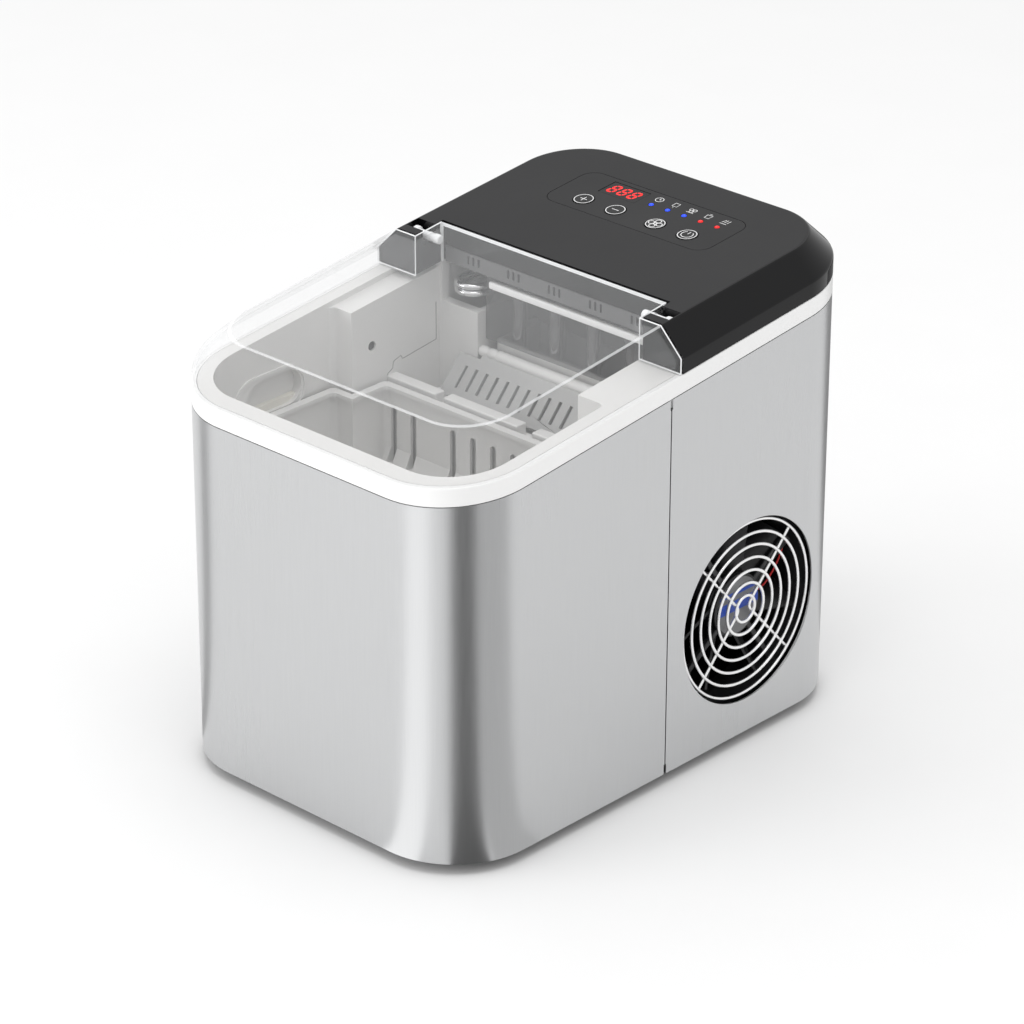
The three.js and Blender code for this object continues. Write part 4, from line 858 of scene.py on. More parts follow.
def add_panel():
    panel = slab("panel", panel_outline(0), lambda y: cover_top(y) - 1.2, cover_top)
    holes = []
    for key in KEYS:
        at = centre(f"key_{key}")
        holes.append(panel_hole(at, KEY_RADIUS + 0.35, 48))
    for led in BLUE_LEDS + RED_LEDS:
        at = centre(f"led_{led}")
        holes.append(panel_hole(at, LED_RADIUS + 0.25, 24))
    low, high = span("display_module")
    holes.append(slab("hole", rectangle(low.x - 0.3, high.x + 0.3, low.y - 0.3, high.y + 0.3), 200, 400))
    panel = softened(carved(panel, *holes), 0.15, 2, 50)
    finished(panel, "machine", "black_satin", "panel_overlay", material=SATIN)


def on_cover(obj, x, y, lift):
    """Lays a flat piece, made round the origin, on the sloping cover."""
    place = Matrix.Translation(Vector((x, y, cover_top(y) + lift)) * MM)
    obj.data.transform(place @ Matrix.Rotation(TILT, 4, "X"))
    return obj


def circle(x, y, radius, start=0, sweep=360, steps=28):
    return [(px, py, 0) for px, py in arc(x, y, radius, start, sweep, steps)]


def line_art(name, lines, width, material, body, slot, x, y, lift):
    """Printed lines: thin flattened beads along points."""
    mark = gathered(name, [wire("line", points, width / 2, smooth=False) for points in lines])
    mark.data.transform(Matrix.Diagonal((1, 1, PRINT_FLATNESS, 1)))
    mark.data.materials.append(material)
    return finished(on_cover(mark, x, y, lift), body, slot)


KEY_SYMBOLS = {
    "plus": [[(-2.4, 0, 0), (2.4, 0, 0)], [(0, -2.4, 0), (0, 2.4, 0)]],
    "minus": [[(-2.5, 0, 0), (2.5, 0, 0)]],
    "ice_size": [circle(2.9 * math.cos(turn), 2.9 * math.sin(turn), 1.75)
                 for turn in (math.pi / 2 * i for i in range(4))] + [circle(0, 0, 0.9)],
    "power": [circle(0, 0, 3.5, 125, 290), [(0, 0.4, 0), (0, 3.4, 0)]],
}


def add_keys():
    for key in KEYS:
        at = centre(f"key_{key}")
        y = at.y
        profile = [(0, -5.2), (2.2, -5.2), (2.2, -2.4), (KEY_RADIUS, -2.4), (KEY_RADIUS, -0.5),
                   (KEY_RADIUS - 0.1, -0.2), (KEY_RADIUS - 0.35, 0), (0, 0)]
        cap = on_cover(turned(f"key_cap_{key}", profile, "z", (0, 0, 0), 64), at.x, y, 0.3)
        finished(cap, f"{key}_key", "black_gloss", f"key_{key}", material=GLOSS)
        lines = [circle(0, 0, KEY_RADIUS - 0.7, steps=48)] + KEY_SYMBOLS[key]
        line_art(f"key_mark_{key}", lines, KEY_PRINT_WIDTH, PRINT, f"{key}_key", "white_plastic",
                 at.x, y, 0.31)


ICONS = {
    "spare": [circle(0, 0, 2.5), [(0, 0, 0), (0, 1.7, 0)], [(0, 0, 0), (1.2, 0, 0)]],
    "ice_making": [[(-1.7, 2.2, 0), (-1.7, -1.6, 0), (1.7, -1.6, 0), (1.7, 2.2, 0), (-1.7, 2.2, 0)],
                   [(-0.4, -2.7, 0), (0.4, -2.7, 0)]],
    "clean": [circle(-1.2, 0.9, 1.2), circle(1.3, 0.9, 1.2), circle(0, -1.2, 1.2),
              [(-2.6, -2.4, 0), (2.6, -2.4, 0)]],
    "ice_full": [[(-1.9, 1.4, 0), (-1.5, -2.3, 0), (1.5, -2.3, 0), (1.9, 1.4, 0), (-1.9, 1.4, 0)],
                 [(-0.9, 2.5, 0), (0.9, 2.5, 0)]],
    "add_water": [[(-2.3, -2.3, 0), (2.3, -2.3, 0)], [(-1.9, -1.0, 0), (-0.9, 2.4, 0)],
                  [(0, -1.0, 0), (0.5, 2.4, 0)], [(1.9, -1.0, 0), (2.3, 2.4, 0)]],
}
ICON_OFFSET = 7.2


def add_lamps():
    for led in BLUE_LEDS + RED_LEDS:
        at = centre(f"led_{led}")
        profile = [(0, -4.2), (LED_RADIUS, -4.2), (LED_RADIUS, -0.1), (LED_RADIUS * 0.85, 0.15),
                   (LED_RADIUS * 0.5, 0.33), (0, 0.4)]
        lamp = on_cover(turned(f"lamp_{led}", profile, "z", (0, 0, 0), 32), at.x, at.y, 0)
        material, slot = (BLUE, "blue_light") if led in BLUE_LEDS else (RED, "red_light")
        finished(lamp, "machine", slot, f"led_{led}", material=material, angle=60)
        line_art(f"icon_{led}", ICONS[led], ICON_PRINT_WIDTH, PRINT, "machine", "white_plastic",
                 at.x, at.y + ICON_OFFSET, 0.02)


SEGMENT_SLANT = 0.22
DIGIT_HALF_WIDTH = 2.1
DIGIT_HALF_HEIGHT = 4.1
DIGIT_PITCH = 7.6
SEGMENT_HALF = 0.62


def segment(x0, y0, x1, y1):
    """A seven-segment bar with pointed ends, leaning with its digit."""
    way = (Vector((x1, y1)) - Vector((x0, y0))).normalized()
    across = Vector((-way.y, way.x)) * SEGMENT_HALF
    start = Vector((x0, y0)) + way * 0.25
    end = Vector((x1, y1)) - way * 0.25
    points = [start, start + way * SEGMENT_HALF - across, end - way * SEGMENT_HALF - across, end,
              end - way * SEGMENT_HALF + across, start + way * SEGMENT_HALF + across]
    return slab("segment", [(p.x + p.y * SEGMENT_SLANT, p.y) for p in points], 0, 0.06)


def add_display():
    low, high = span("display_module")
    middle = (low + high) / 2
    window = slab("display_window", rounded(low.x, high.x, low.y, high.y, 0.8, steps=4),
                  lambda y: cover_top(y) - 5, lambda y: cover_top(y) - 0.12)
    finished(softened(window, 0.2), "machine", "black_gloss", "display_module", material=SATIN)
    w, h = DIGIT_HALF_WIDTH, DIGIT_HALF_HEIGHT
    bars = []
    for digit in (-1, 0, 1):
        x = digit * DIGIT_PITCH
        for y in (-h, 0, h):
            bars.append(segment(x - w, y, x + w, y))
        for side in (-w, w):
            bars.append(segment(x + side, -h, x + side, 0))
            bars.append(segment(x + side, 0, x + side, h))
    digits = gathered("display_digits", bars)
    finished(on_cover(digits, middle.x, middle.y, -0.1), "machine", "red_light", material=RED)


def add_lid_edge_highlights():
    """Painted highlights: white lines drawn along the clear lid's cut and folded edges, where clear plastic
    shows bright lines.
    """
    thick = LID_EDGE
    end, tail = LID_END_Y - thick, LID_TAIL_Y - thick
    foot = cap_foot(end) + thick
    lines = []
    for side in (-1, 1):
        wall = side * (HALF_WIDTH - thick)
        crown = side * (HALF_WIDTH - BEVEL_SIDE)
        tongue = side * (TONGUE_X - thick)
        lines.append([(wall, end, foot), (wall, end, cap_foot(end) + wall_height(end) - 0.4),
                      (crown, end, lid_top(end) - thick), (tongue, end, lid_top(end) - thick)])
        lines.append([(tongue, end, lid_top(end) - thick), (tongue, tail, lid_top(tail) - thick)])
        lines.append([(tongue, end, foot), (tongue, end, lid_top(end) - thick)])
        lines.append([(wall, end, foot), (tongue, end, foot)])
        lines.append([(tongue, tail, HINGE.z), (tongue, tail, lid_top(tail) - thick)])
    outline = gathered("lid_edge_highlights", [wire("line", points, thick, smooth=False) for points in lines])
    finished(outline, "lid", "clear", material=EDGE_HIGHLIGHT_AND_KNOB_WHITE, angle=60)


def add_lid():
    layers = [CLEAR, BEND_HIGHLIGHT, EDGE_HIGHLIGHT_AND_KNOB_WHITE]
    clear, bend, edge = range(3)

    def region(t):
        end = LID_END_Y - t
        tongue = TONGUE_X - t
        tail = LID_TAIL_Y + (5 if t else 0)
        wide = HALF_WIDTH + 1
        return slab("region", [
            (-wide, -HALF_DEPTH - 1), (wide, -HALF_DEPTH - 1), (wide, end), (tongue, end), (tongue, tail),
            (-tongue, tail), (-tongue, end), (-wide, end),
        ], 0, 400)

    outer = slotted(cap_form("lid_shell", 0, lid_top, 0, 0.9), layers, clear)
    sides = len(body_outline(0))
    # The rounded crown edge takes the whiter copy: a painted highlight along the fold.
    for band in (5, 6, 7):
        for polygon in outer.data.polygons[band * sides:(band + 1) * sides]:
            polygon.material_index = bend
    outer = trimmed(outer, slotted(region(0), layers, clear))
    inner = slotted(cap_form("hollow", LID_WALL, lid_top, -5, 0.6), layers, clear)
    inner = trimmed(inner, slotted(region(LID_WALL), layers, clear))
    # The pin holes' faces take the opaque white: a painted highlight on their cut edges.
    holes = [slotted(rod("hole", "x", 2.7, 12, (side * TONGUE_X - 6, HINGE.y, HINGE.z)), layers, edge)
             for side in (-1, 1)]
    swing = HINGE.z - cap_foot(HINGE.y) - 0.1
    corner = carved(block("corner", -EAR_INNER_X, EAR_INNER_X, HINGE.y, LID_TAIL_Y + 1, 0, HINGE.z),
                    rod("swing", "x", swing, 2 * HALF_WIDTH, (-HALF_WIDTH, HINGE.y, HINGE.z), steps=96))
    lid = carved(outer, inner, slotted(corner, layers, clear), *holes)
    # The lid's rear cut faces take the opaque white: a painted highlight on the cut edge.
    for polygon in lid.data.polygons:
        if polygon.center.y > (LID_TAIL_Y - 0.2) * MM:
            polygon.material_index = edge
    finished(lid, "lid", "clear", "lid", angle=30)
    add_lid_edge_highlights()

    for label, side in (("left", -1), ("right", 1)):
        inside = -LID_WALL - 6.3
        profile = [
            (0, inside), (2.0, inside), (2.6, inside + 0.4), (2.8, inside + 1.2), (2.8, -4.5), (2.4, -4.3),
            (2.4, PIN_OUT - 3.9), (3.2, PIN_OUT - 3.7), (PIN_HEAD, PIN_OUT - 3), (PIN_HEAD, PIN_OUT - 1),
            (PIN_HEAD - 0.5, PIN_OUT - 0.2), (PIN_HEAD - 1.3, PIN_OUT + 0.3), (0, PIN_OUT + 0.3),
        ]
        pin = turned(f"hinge_knob_{label}", [(r, side * h) for r, h in profile], "x",
                     (side * TONGUE_X, HINGE.y, HINGE.z), 40)
        finished(pin, "lid", "clear", f"lid_pin_{label}", material=EDGE_HIGHLIGHT_AND_KNOB_WHITE)


add_cover()
add_panel()
add_keys()
add_lamps()
add_display()
add_lid()


# ---------------------------------------------------------------- tub

BIN_WALL = 2.4
BIN_HALF = HALF_WIDTH - 12
BIN_FRONT_Y = -HALF_DEPTH + 14
BIN_REAR_Y = -14
BIN_STEP_Y = -41
BIN_CORNER = 36
BIN_FLOOR_Z = 45
DECK_THICKNESS = 2.4
CHAMBER_LEFT = 15 - BIN_HALF
CHAMBER_RIGHT = BIN_HALF - 19
MOUTH_REAR_Y = 30
MOUTH_REAR_CORNER = 18
BASKET_LOW, BASKET_HIGH = span("ice_basket")
BASKET_LEDGE_Z = BASKET_LOW.z - GAP
SILL_Z = SHELL_FRONT_Z - 33
CHAMBER_FLOOR_Z = SHELL_FRONT_Z - 47
BAY_FLOOR_Z = SHELL_FRONT_Z - 41
RECESS_Z = SHELL_FRONT_Z + 8
RECESS_RIGHT = CHAMBER_LEFT + 44
TUB_HIGH = span("tub_liner")[1]
CHAMBER_REAR_Y = TUB_HIGH.y - BIN_WALL
WELL_FLOOR_Z = 156
TRAY_WALL = span("water_tray")[0].x - GAP
BAY_WALL = 4
TRAY_AXIS = (centre("tray_motor").y, centre("tray_motor").z)


def stadium(y, z, half_length, radius):
    return (arc(y + half_length, z, radius, -90, 180, 14)
            + arc(y - half_length, z, radius, 90, 180, 14))


def add_tub():
    def over(y):
        return rim_top(y) + 5

    def under(y):
        return rim_top(y) - 1

    wall = BIN_WALL
    left, right, sill, rear = CHAMBER_LEFT, CHAMBER_RIGHT, SILL_Z, MOUTH_REAR_Y
    deck = trimmed(
        slab("tub", body_outline(RIM_WALL + GAP), lambda y: rim_top(y) - DECK_THICKNESS, rim_top),
        block("keep", -HALF_WIDTH, HALF_WIDTH, -HALF_DEPTH, CHAMBER_REAR_Y + wall, 0, 400),
    )
    solids = [
        slab("bin", rounded(-BIN_HALF - wall, BIN_HALF + wall, BIN_FRONT_Y - wall, BIN_REAR_Y + wall,
                            BIN_CORNER + wall, 4), BIN_FLOOR_Z - wall, under),
        slab("chamber", rectangle(CHAMBER_LEFT - 5, CHAMBER_RIGHT + 5, BIN_REAR_Y, CHAMBER_REAR_Y + wall),
             WELL_FLOOR_Z - wall, under),
        slab("neck", rectangle(-BIN_HALF - wall, BIN_HALF + wall, BIN_REAR_Y, MOUTH_REAR_Y + 6),
             WELL_FLOOR_Z - wall, under),
        profile_bar("pad", stadium(-87, 201.5, 12.5, 13.5), -BIN_HALF - 8.5, -BIN_HALF - 0.5),
    ]
    cuts = [
        slab("reservoir", rounded(-BIN_HALF + 15, BIN_HALF - 15, BIN_FRONT_Y + 5, BIN_REAR_Y - 5, 19, 6),
             BIN_FLOOR_Z, BASKET_LEDGE_Z + 1),
        slab("bin", rounded(-BIN_HALF, BIN_HALF, BIN_FRONT_Y, BIN_STEP_Y, BIN_CORNER, 4, steps=32),
             BASKET_LEDGE_Z, over),
        slab("rear", rounded(left, right, BIN_STEP_Y - 20, BIN_REAR_Y, 2, 4), BASKET_LEDGE_Z, over),
        slab("chamber", rounded(left, right, BIN_REAR_Y - 14, MOUTH_REAR_Y, 3, 3), SILL_Z, over),
        slab("floor", rectangle(left, right, BIN_REAR_Y + 10, MOUTH_REAR_Y), CHAMBER_FLOOR_Z, over),
        block("well", TRAY_WALL, CHAMBER_RIGHT, MOUTH_REAR_Y - 2, CHAMBER_REAR_Y, WELL_FLOOR_Z, 400),
        block("bay", CHAMBER_LEFT, TRAY_WALL - BAY_WALL, MOUTH_REAR_Y + 6, CHAMBER_REAR_Y, BAY_FLOOR_Z, 400),
        slab("recess", rounded(CHAMBER_LEFT + 2, RECESS_RIGHT, MOUTH_REAR_Y - 2, MOUTH_REAR_Y + 36, 1, 5),
             RECESS_Z, 400),
        block("exit", CHAMBER_LEFT + 2, CHAMBER_LEFT + 16, CHAMBER_REAR_Y - 5, CHAMBER_REAR_Y + 10,
              RECESS_Z + 3, 400),
        rod("shaft", "x", 5, BAY_WALL + 4, (TRAY_WALL - BAY_WALL - 2, *TRAY_AXIS)),
        slab("mouth", rounded(-BIN_HALF, CHAMBER_RIGHT, BIN_STEP_Y - 20, MOUTH_REAR_Y, 4, MOUTH_REAR_CORNER),
             lambda y: rim_top(y) - DECK_THICKNESS - 1, over),
        rod("sensor", "x", 2.9, 14, (CHAMBER_LEFT - 12, centre("ice_sensor").y, centre("ice_sensor").z)),
        profile_bar("hand", stadium(-87, 201.5, 10.5, 10.5), -BIN_HALF - 6, -BIN_HALF + 2),
    ]
    tub = carved(fused(deck, *solids), *cuts)
    ridge = carved(
        profile_bar("ridge", stadium(-91, 200.5, 12.5, 15.5), -BIN_HALF - 0.5, -BIN_HALF + 0.9),
        profile_bar("inside", stadium(-90, 200.5, 12, 13.6), -BIN_HALF - 1, -BIN_HALF + 2),
    )
    sill_blocks = []
    for x0, x1 in ((left - 0.5, left + 38), (left + 44, right - 71), (right - 60, right - 48),
                   (right - 24, right + 0.5)):
        sill_blocks.append(soft_block("sill", x0, x1, BIN_REAR_Y + 1, BIN_REAR_Y + 9,
                                      sill - 2, sill + 7, 0.9))
    tub = softened(fused(tub, ridge, *sill_blocks), 0.45, 2, 48)
    finished(tub, "machine", "white_plastic", "tub_liner", material=WHITE, angle=34)

    # Painted shade: thin dark grey lines along the chamber's left wall, where the white tub shows shaded
    # creases.
    shade_paths = [
        [(left, -13, sill + 1), (left, -12.5, sill + 8), (left, -8.5, sill + 10), (left, -8, sill + 14),
         (left, -2, sill + 16), (left, -0.5, sill + 13.5), (left, rear - 3, sill + 17)],
        [(left, rear - 3, sill + 17), (left, rear - 3, RECESS_Z - 1)],
    ]
    shade_lines = gathered("tub_shade_lines", [wire("shade_line", points, 0.22, smooth=False) for points in shade_paths])
    finished(shade_lines, "machine", "white_plastic", material=SHADE_LINE_GREY, angle=60)


add_tub()


# ---------------------------------------------------------------- ice basket

BASKET_WALL = 2
BASKET_CORNER = 33.5
BASKET_MARGIN = 2.5
SLOT_COUNT_EACH_SIDE = 5
SLOT_PITCH = 15.5
SLOT_HALF_WIDTH = 2.3
SLOT_TOP_DROP = 13.5
FLOOR_SLOT_PITCH = 30


def add_basket():
    low, high = BASKET_LOW, BASKET_HIGH
    bottom, top = low.z, high.z
    step = BIN_STEP_Y - BASKET_MARGIN
    rear_left, rear_right = CHAMBER_LEFT + BASKET_MARGIN, CHAMBER_RIGHT - BASKET_MARGIN

    def form(t, z0, z1):
        front = slab("basket", rounded(low.x + t, high.x - t, low.y + t, step - t, BASKET_CORNER - t, 4),
                     z0, z1)
        rear = slab("rear", rounded(rear_left + t, rear_right - t, step - t - 12, high.y - t, 1, 4), z0, z1)
        return fused(front, rear)

    wall = BASKET_WALL
    shell = carved(form(0, bottom, top), form(wall, bottom + wall, top + 1))
    rim = carved(form(0.05, top - 2.2, top), form(5, top - 4, top + 1))
    foot = high.y - wall - 0.2
    ramp = profile_bar("ramp", [(foot + 0.8, bottom + 1), (foot + 0.8, bottom + 15), (foot, bottom + 15),
                                (foot - 5, bottom + 5), (foot - 16, bottom + 1.9), (foot - 16, bottom + 1)],
                       rear_left + 1, rear_right - 1)
    shell = fused(shell, rim, ramp)
    slots = []
    half = SLOT_HALF_WIDTH
    for i in range(-SLOT_COUNT_EACH_SIDE, SLOT_COUNT_EACH_SIDE + 1):
        if abs(i) != 3:
            x = i * SLOT_PITCH
            outline = arc(x, top - SLOT_TOP_DROP - half, half, 0, 180, 12)
            outline += [(x - half, bottom + 6), (x + half, bottom + 6)]
            slots.append(depth_bar("slot", outline, high.y - 16, high.y + 1))
    for i in range(-2, 3):
        x = i * FLOOR_SLOT_PITCH
        slots.append(slab("slot", rounded(x - 2, x + 2, low.y + 30, high.y - 36, 1.9, steps=6),
                          bottom - 1, bottom + wall + 1))
    shell = softened(carved(shell, *slots), 0.4, 2, 40)
    finished(shell, "basket", "white_plastic", "ice_basket", material=BASKET_WHITE, angle=34)


add_basket()


# ---------------------------------------------------------------- ice pusher, shield and evaporator

PUSHER_LOW, PUSHER_HIGH = span("ice_pusher")
AXIS_Y = PUSHER_HIGH.y - 2.4
AXIS_Z = PUSHER_HIGH.z - 2.4
PUSHER_ANGLE = math.radians(48)
PUSHER_LENGTH = 32
PUSHER_RIGHT = PUSHER_LOW.x + 100
PUSHER_HALF_THICKNESS = 1.3
PUSHER_SLOTS = 11
PUSHER_SLOT_PITCH = 8.1
PUSHER_SLOT_HALF = 1.05


def pusher_point(distance, height):
    along = (-math.cos(PUSHER_ANGLE), -math.sin(PUSHER_ANGLE))
    return (AXIS_Y + along[0] * distance + along[1] * height,
            AXIS_Z + along[1] * distance - along[0] * height)


def pusher_plate(name, start, end, half, x0, x1):
    corners = ((start, -half), (start, half), (end, half), (end, -half))
    return profile_bar(name, [pusher_point(*corner) for corner in corners], x0, x1)


def add_pusher():
    half = PUSHER_HALF_THICKNESS
    plate = pusher_plate("pusher_plate", 5.5, PUSHER_LENGTH, half, PUSHER_LOW.x, PUSHER_RIGHT)
    neck = pusher_plate("neck", 0, 8, half, TRAY_WALL + 4, PUSHER_RIGHT)
    middle = (PUSHER_LOW.x + PUSHER_RIGHT) / 2
    slots = []
    for i in range(PUSHER_SLOTS):
        x = middle + (i - (PUSHER_SLOTS - 1) / 2) * PUSHER_SLOT_PITCH
        slots.append(pusher_plate("slot", 12, 26, 4, x - PUSHER_SLOT_HALF, x + PUSHER_SLOT_HALF))
    plate = carved(fused(plate, neck), *slots)
    finished(softened(plate, 0.3, 2, 40), "pusher", "grey_plastic", "ice_pusher", material=PUSHER_GREY)
    left, right = TRAY_WALL + GAP, PUSHER_HIGH.x
    profile = [(0, left), (2.4, left), (3.2, left + 1), (3.4, left + 3), (3.1, left + 5), (2.5, left + 6),
               (2.5, left + 7), (3.2, left + 8), (3.45, left + 10), (3.0, left + 12), (2.6, left + 13),
               (3.3, left + 14), (3.45, left + 15.5), (3.45, right - 1), (3.1, right), (0, right)]
    bar = turned("pusher_bar", profile, "x", (0, AXIS_Y, AXIS_Z), 40)
    finished(bar, "pusher", "white_plastic", material=WHITE, angle=50)


def add_shield():
    low, high = span("evaporator_shield")
    sheet = soft_block("shield_sheet", low.x, high.x, low.y, high.y, low.z, high.z, 0.5)
    finished(sheet, "machine", "smoked", "evaporator_shield", material=SMOKED)
    bar = soft_block("shield_header", low.x + 6, high.x, low.y - 4.2, low.y - GAP,
                     high.z - 4.8, high.z - 0.2, 1.2, 4)
    finished(bar, "machine", "white_plastic", material=RIM_WHITE)


def add_evaporator():
    low, high = span("evaporator")
    radius, header = 4.3, high.z - 4.2
    front_y, rear_y = low.y + radius, high.y - radius
    first, last = low.x + 11, high.x - 6
    pitch = (last - first) / 4
    parts = []
    header_profile = [(0, low.x + 1), (3.2, low.x + 1), (4.2, low.x + 2.5), (4.2, high.x - 1.5),
                      (3.2, high.x), (0, high.x)]
    tip = low.z
    finger_profile = [
        (0, tip), (1.6, tip + 0.2), (3.0, tip + 1), (4.0, tip + 2.6), (radius, tip + 5), (radius, header - 6),
        (radius + 0.8, header - 4), (radius + 0.8, header), (0, header),
    ]
    for y, count, shift in ((front_y, 5, 0), (rear_y, 4, pitch / 2)):
        parts.append(turned("header", header_profile, "x", (0, y, header), 32))
        for i in range(count):
            parts.append(turned("finger", finger_profile, "z", (first + shift + i * pitch, y, 0), 32))
    for x in (low.x + 2.5, last + 3):
        parts.append(soft_block("bridge", x - 2.4, x + 2.4, front_y - 3, rear_y + 3,
                                header - 4, header + 4, 1.2))
    finished(fused(*parts), "machine", "chrome", "evaporator", material=CHROME)


def add_hairpin():
    low, high = span("refrigerant_loop")
    radius = 1.9
    near, far = TRAY_WALL - 2, CHAMBER_LEFT + 9
    bend_y, bend = MOUTH_REAR_Y + 9, (near - far) / 2
    tubes = []
    for z in (low.z + radius + 0.3, low.z + radius + 4.4):
        points = [(high.x - 1, 56, high.z - 2.6), (near + 0.5, 52, z + 0.5), (near, 46, z),
                  (near, bend_y + 2, z)]
        points += [(x, y, z) for x, y in arc((near + far) / 2, bend_y, bend, 0, -180, 10)]
        points += [(far, bend_y + 4, z), (far, 60, z), (far, high.y - 8, z), (far, high.y - 0.5, z)]
        tubes.append(wire("tube", points, radius))
    finished(gathered("hairpin_tubes", tubes), "machine", "chrome", "refrigerant_loop",
             material=CHROME, angle=60)


add_pusher()
add_shield()
add_evaporator()
add_hairpin()


# ---------------------------------------------------------------- fan side

GRILLE_X = HALF_WIDTH - 3
RING_PITCH = 7.6
RING_FIRST = 8
RINGS = 7
RING_THICKNESS = 0.95
LEG_BEND = 3.4
HUB_RADIUS = 18
STRUT_ANGLES = (35, 125, 215, 305)
BLADES = 7
BLADE_LENGTH = 34
FINS = 46
TUBE_ROWS = 6


def ring(name, radius, thickness, x, y, z, steps=96, sides=12):
    bm = bmesh.new()
    rows = []
    for i in range(steps):
        turn = 2 * math.pi * i / steps
        row = []
        for j in range(sides):
            around = 2 * math.pi * j / sides
            reach = radius + thickness * math.cos(around)
            row.append(bm.verts.new((x + thickness * math.sin(around), y + reach * math.cos(turn),
                                     z + reach * math.sin(turn))))
        rows.append(row)
    for i in range(steps):
        for j in range(sides):
            a, b = rows[i], rows[(i + 1) % steps]
            k = (j + 1) % sides
            bm.faces.new((a[j], a[k], b[k], b[j]))
    return object_from(name, bm)


def add_grille():
    parts = [ring("ring", RING_FIRST + i * RING_PITCH, RING_THICKNESS, GRILLE_X, FAN_Y, FAN_Z)
             for i in range(RINGS)]
    tip = (RING_FIRST + (RINGS - 1) * RING_PITCH + 1) * math.sqrt(0.5)
    for side in (-1, 1):
        points = []
        for sign, t in ((1, 1), (1, 0.5), (1, 0.12), (1, 0.04), (-1, 0.04), (-1, 0.12), (-1, 0.5), (-1, 1)):
            across = side * (LEG_BEND + (tip - LEG_BEND) * t)
            points.append((GRILLE_X - 1.4, FAN_Y + across, FAN_Z + sign * tip * t))
        parts.append(wire("leg", points, 1.0))
    finished(gathered("grille_wires", parts), "machine", "chrome", "fan_grille",
             material=WIRE_CHROME, angle=60)


def add_frame():
    low, high = FAN_LOW, FAN_HIGH
    inside = slab("inside", body_outline(SHELL_WALL + GAP), 0, 400)
    body = trimmed(block("fan_housing", low.x, high.x, low.y, high.y, low.z, high.z), inside)
    bore = [(0, low.x - 1), (FAN_OPENING - 1, low.x - 1), (FAN_OPENING - 3, low.x + 9),
            (FAN_OPENING - 3, high.x - 9), (FAN_OPENING - 0.5, high.x + 1), (0, high.x + 1)]
    body = carved(body, turned("bore", bore, "x", (0, FAN_Y, FAN_Z), 144))
    face = high.x - 3
    parts = [turned("hub", [(0, face - 5), (HUB_RADIUS, face - 5), (HUB_RADIUS + 1, face - 4),
                            (HUB_RADIUS + 1, face - 0.8), (HUB_RADIUS + 0.2, face), (0, face)], "x",
                    (0, FAN_Y, FAN_Z), 72)]
    for angle in STRUT_ANGLES:
        turn = Matrix.Rotation(math.radians(angle), 4, "X")
        strut = soft_block("strut", face - 4, face - 1, -1.7, 1.7, HUB_RADIUS - 2, FAN_OPENING - 1, 0.6)
        strut.data.transform(Matrix.Translation(Vector((0, FAN_Y, FAN_Z)) * MM) @ turn)
        parts.append(strut)
    finished(softened(fused(body, *parts), 0.4, 2, 50), "machine", "dark_plastic", "fan_frame",
             material=BLACK_PLASTIC)
    label = turned("motor_label", [(0, face), (HUB_RADIUS - 0.6, face), (HUB_RADIUS - 0.6, face + 0.15),
                                   (0, face + 0.15)], "x", (0, FAN_Y, FAN_Z), 72)
    finished(label, "machine", "grey_plastic", material=LABEL_GREY)
    disc = rod("disc", "x", HUB_RADIUS - 0.6, 2, (face + 0.1, FAN_Y, FAN_Z), 72)
    stripes = [block("stripe", face + 0.1, face + 0.3, FAN_Y - 20, FAN_Y + 20, FAN_Z - 2.5, FAN_Z + 4),
               block("stripe", face + 0.1, face + 0.3, FAN_Y - 20, FAN_Y + 20, FAN_Z + 7.5, FAN_Z + 9.5)]
    blue = trimmed(gathered("label_stripes", stripes), disc)
    finished(blue, "machine", "blue_light", material=LABEL_BLUE)
    lead = wire("motor_lead", [(face - 1, FAN_Y + 16, FAN_Z + 3), (face + 1, FAN_Y + 21, FAN_Z + 4.5),
                               (face + 0.5, FAN_Y + 30, FAN_Z + 11), (face, FAN_Y + 38, FAN_Z + 20),
                               (face - 2, FAN_Y + 43, FAN_Z + 30)], 0.55)
    finished(lead, "machine", "red_light", material=WIRE_RED, angle=60)


def blade_section(reach, pitch, chord):
    """Points across a cambered blade at one distance from the hub."""
    outline = []
    for side, thickness in ((1, 0.7), (-1, -0.7)):
        for i in range(7):
            t = (i / 6 - 0.5) * side
            camber = (0.25 - t * t) * chord * 0.28
            u, v = t * chord, camber + thickness
            outline.append((u * math.sin(pitch) + v * math.cos(pitch),
                            u * math.cos(pitch) - v * math.sin(pitch), reach))
    return outline


def add_rotor():
    low, high = span("fan_rotor")
    middle = (low.x + high.x) / 2
    profile = [(0, low.x), (16.5, low.x), (HUB_RADIUS, low.x + 1.5), (HUB_RADIUS, high.x - 4.5),
               (HUB_RADIUS - 1, high.x - 3.5), (0, high.x - 3.5)]
    parts = [turned("rotor", profile, "x", (0, FAN_Y, FAN_Z), 64)]
    for i in range(BLADES):
        rows = [blade_section(HUB_RADIUS - 1.5 + BLADE_LENGTH * t, 0.75 + 0.35 * t, 20 + 6 * t)
                for t in (0, 0.25, 0.5, 0.75, 1)]
        blade = lofted("blade", rows)
        turn = Matrix.Rotation(2 * math.pi * i / BLADES, 4, "X")
        blade.data.transform(Matrix.Translation(Vector((middle - 1, FAN_Y, FAN_Z)) * MM) @ turn)
        parts.append(blade)
    finished(gathered("fan_blades", parts), "fan", "dark_plastic", "fan_rotor", material=BLACK_PLASTIC)


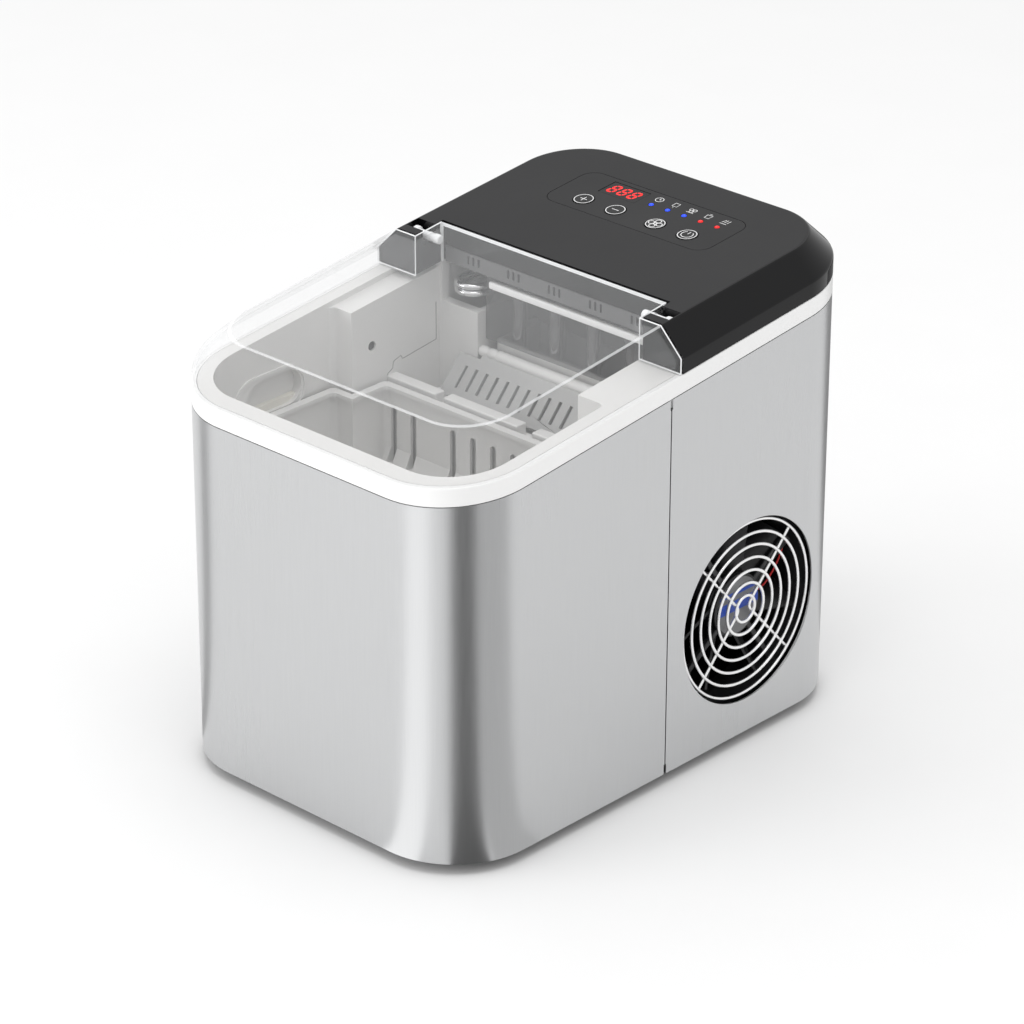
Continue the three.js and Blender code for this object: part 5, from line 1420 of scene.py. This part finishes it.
def add_condenser():
    low, high = span("condenser")
    parts = []
    for i in range(FINS):
        y = low.y + 3 + (high.y - low.y - 6) * i / (FINS - 1)
        parts.append(block("fin", low.x + 4, high.x, y - 0.28, y + 0.28, low.z + 3, high.z - 3))
    for row in range(TUBE_ROWS):
        z = low.z + 10 + row * (high.z - low.z - 20) / (TUBE_ROWS - 1)
        parts.append(rod("tube", "y", 3.2, high.y - low.y - 2, ((low.x + high.x) / 2 + 2, low.y + 1, z), 24))
    for z0, z1 in ((low.z, low.z + 3), (high.z - 3, high.z)):
        parts.append(soft_block("plate", low.x, high.x, low.y, high.y, z0, z1, 0.6))
    for y0 in (low.y, high.y - 1.5):
        parts.append(soft_block("end", low.x, high.x, y0, y0 + 1.5, low.z, high.z, 0.4))
    parts.append(soft_block("back", low.x, low.x + 4, low.y, high.y, low.z, high.z, 0.6))
    finished(gathered("condenser_core", parts), "machine", "aluminium", "condenser", material=BLACK_FINS)


add_grille()
add_frame()
add_rotor()
add_condenser()


# ---------------------------------------------------------------- feet, drain and inlet

def add_feet():
    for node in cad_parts:
        if node.startswith("foot_"):
            low, high = span(node)
            at = (low + high) / 2
            radius = (high.x - low.x) / 2
            tall = high.z - low.z
            profile = [(0, 0.6), (radius - 5, 0.6), (radius - 4, 0), (radius - 2, 0), (radius - 1.1, 0.6),
                       (radius - 0.6, 2), (radius, tall - 0.6), (radius - 0.3, tall), (0, tall)]
            pad = turned(f"pad_{node}", profile, "z", (at.x, at.y, low.z), 48)
            finished(pad, "machine", "rubber", node, material=RUBBER)


def add_drain_plug():
    low, high = span("drain_plug")
    y, z = (low.y + high.y) / 2, (low.z + high.z) / 2
    profile = [(0, 0), (7, 0), (8.6, 0.5), (9, 1.4), (9, 3), (3.6, 3), (3.2, 5), (3.7, 6), (3.2, 8), (3.7, 9),
               (3.2, 12), (3.4, 15), (2.6, 16), (0, 16)]
    plug = turned("drain_cap_rubber", profile, "x", (low.x, y, z), 48)
    grip = arc(y, z, 4.6, 0, 360, 24)[:-1]
    bar = block("bar", low.x - 2, low.x + 1, y - 1.2, y + 1.2, z - 6, z + 6)
    hollow = carved(profile_bar("ring", grip, low.x - 1, low.x + 0.7), bar)
    plug = softened(carved(plug, hollow), 0.25, 2, 40)
    finished(plug, "drain_cap", "rubber", "drain_plug", material=RUBBER)


def add_inlet():
    low, high = span("power_inlet")
    x, z = INLET.x, INLET.z
    flange = soft_block("inlet", low.x, high.x, HALF_DEPTH - SHELL_WALL - 3, HALF_DEPTH - SHELL_WALL - GAP,
                        low.z, high.z, 0.6)
    neck = soft_block("neck", x - 13.2, x + 13.2, low.y, high.y, z - 9.7, z + 9.7, 0.8)
    outline = [(-11, -7.5), (11, -7.5), (11, 3.5), (7, 7.5), (-7, 7.5), (-11, 3.5)]
    socket = depth_bar("socket", [(x + a, z + b) for a, b in outline], high.y - 14, high.y + 2)
    body = softened(carved(fused(flange, neck), socket), 0.3, 2, 40)
    finished(body, "machine", "dark_plastic", "power_inlet", material=BLACK_PLASTIC)
    pins = [soft_block("pin", x + a - 1, x + a + 1, high.y - 15, high.y - 4, z - 2.5, z + 2.5, 0.5)
            for a in (-7, 0, 7)]
    finished(gathered("inlet_pins", pins), "machine", "chrome", material=CHROME)


add_feet()
add_drain_plug()
add_inlet()


# ---------------------------------------------------------------- pieces that keep their CAD shape

NODE_FINISH = {
    "water_tray": WHITE, "drain_spout": WHITE, "ice_sensor": GLOSS, "chamber_hood": HOOD_GREY,
    "tray_motor": ALUMINIUM, "hot_gas_valve": ALUMINIUM, "discharge_pipe": COPPER, "suction_pipe": COPPER,
    "filter_drier": COPPER, "water_pump": BLACK_PLASTIC, "control_board": BOARD, "power_board": BOARD,
    "tub_insulation": FOAM, "pump_hose": FOAM, "base_pan": BLACK_PAINT, "compressor": BLACK_PAINT,
    "compressor_plate": BLACK_PAINT,
}
for node, material in NODE_FINISH.items():
    paint_node(node, material)
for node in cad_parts:
    if node.startswith("compressor_grommet"):
        paint_node(node, RUBBER)
    elif node.startswith("base_screw"):
        paint_node(node, CHROME)
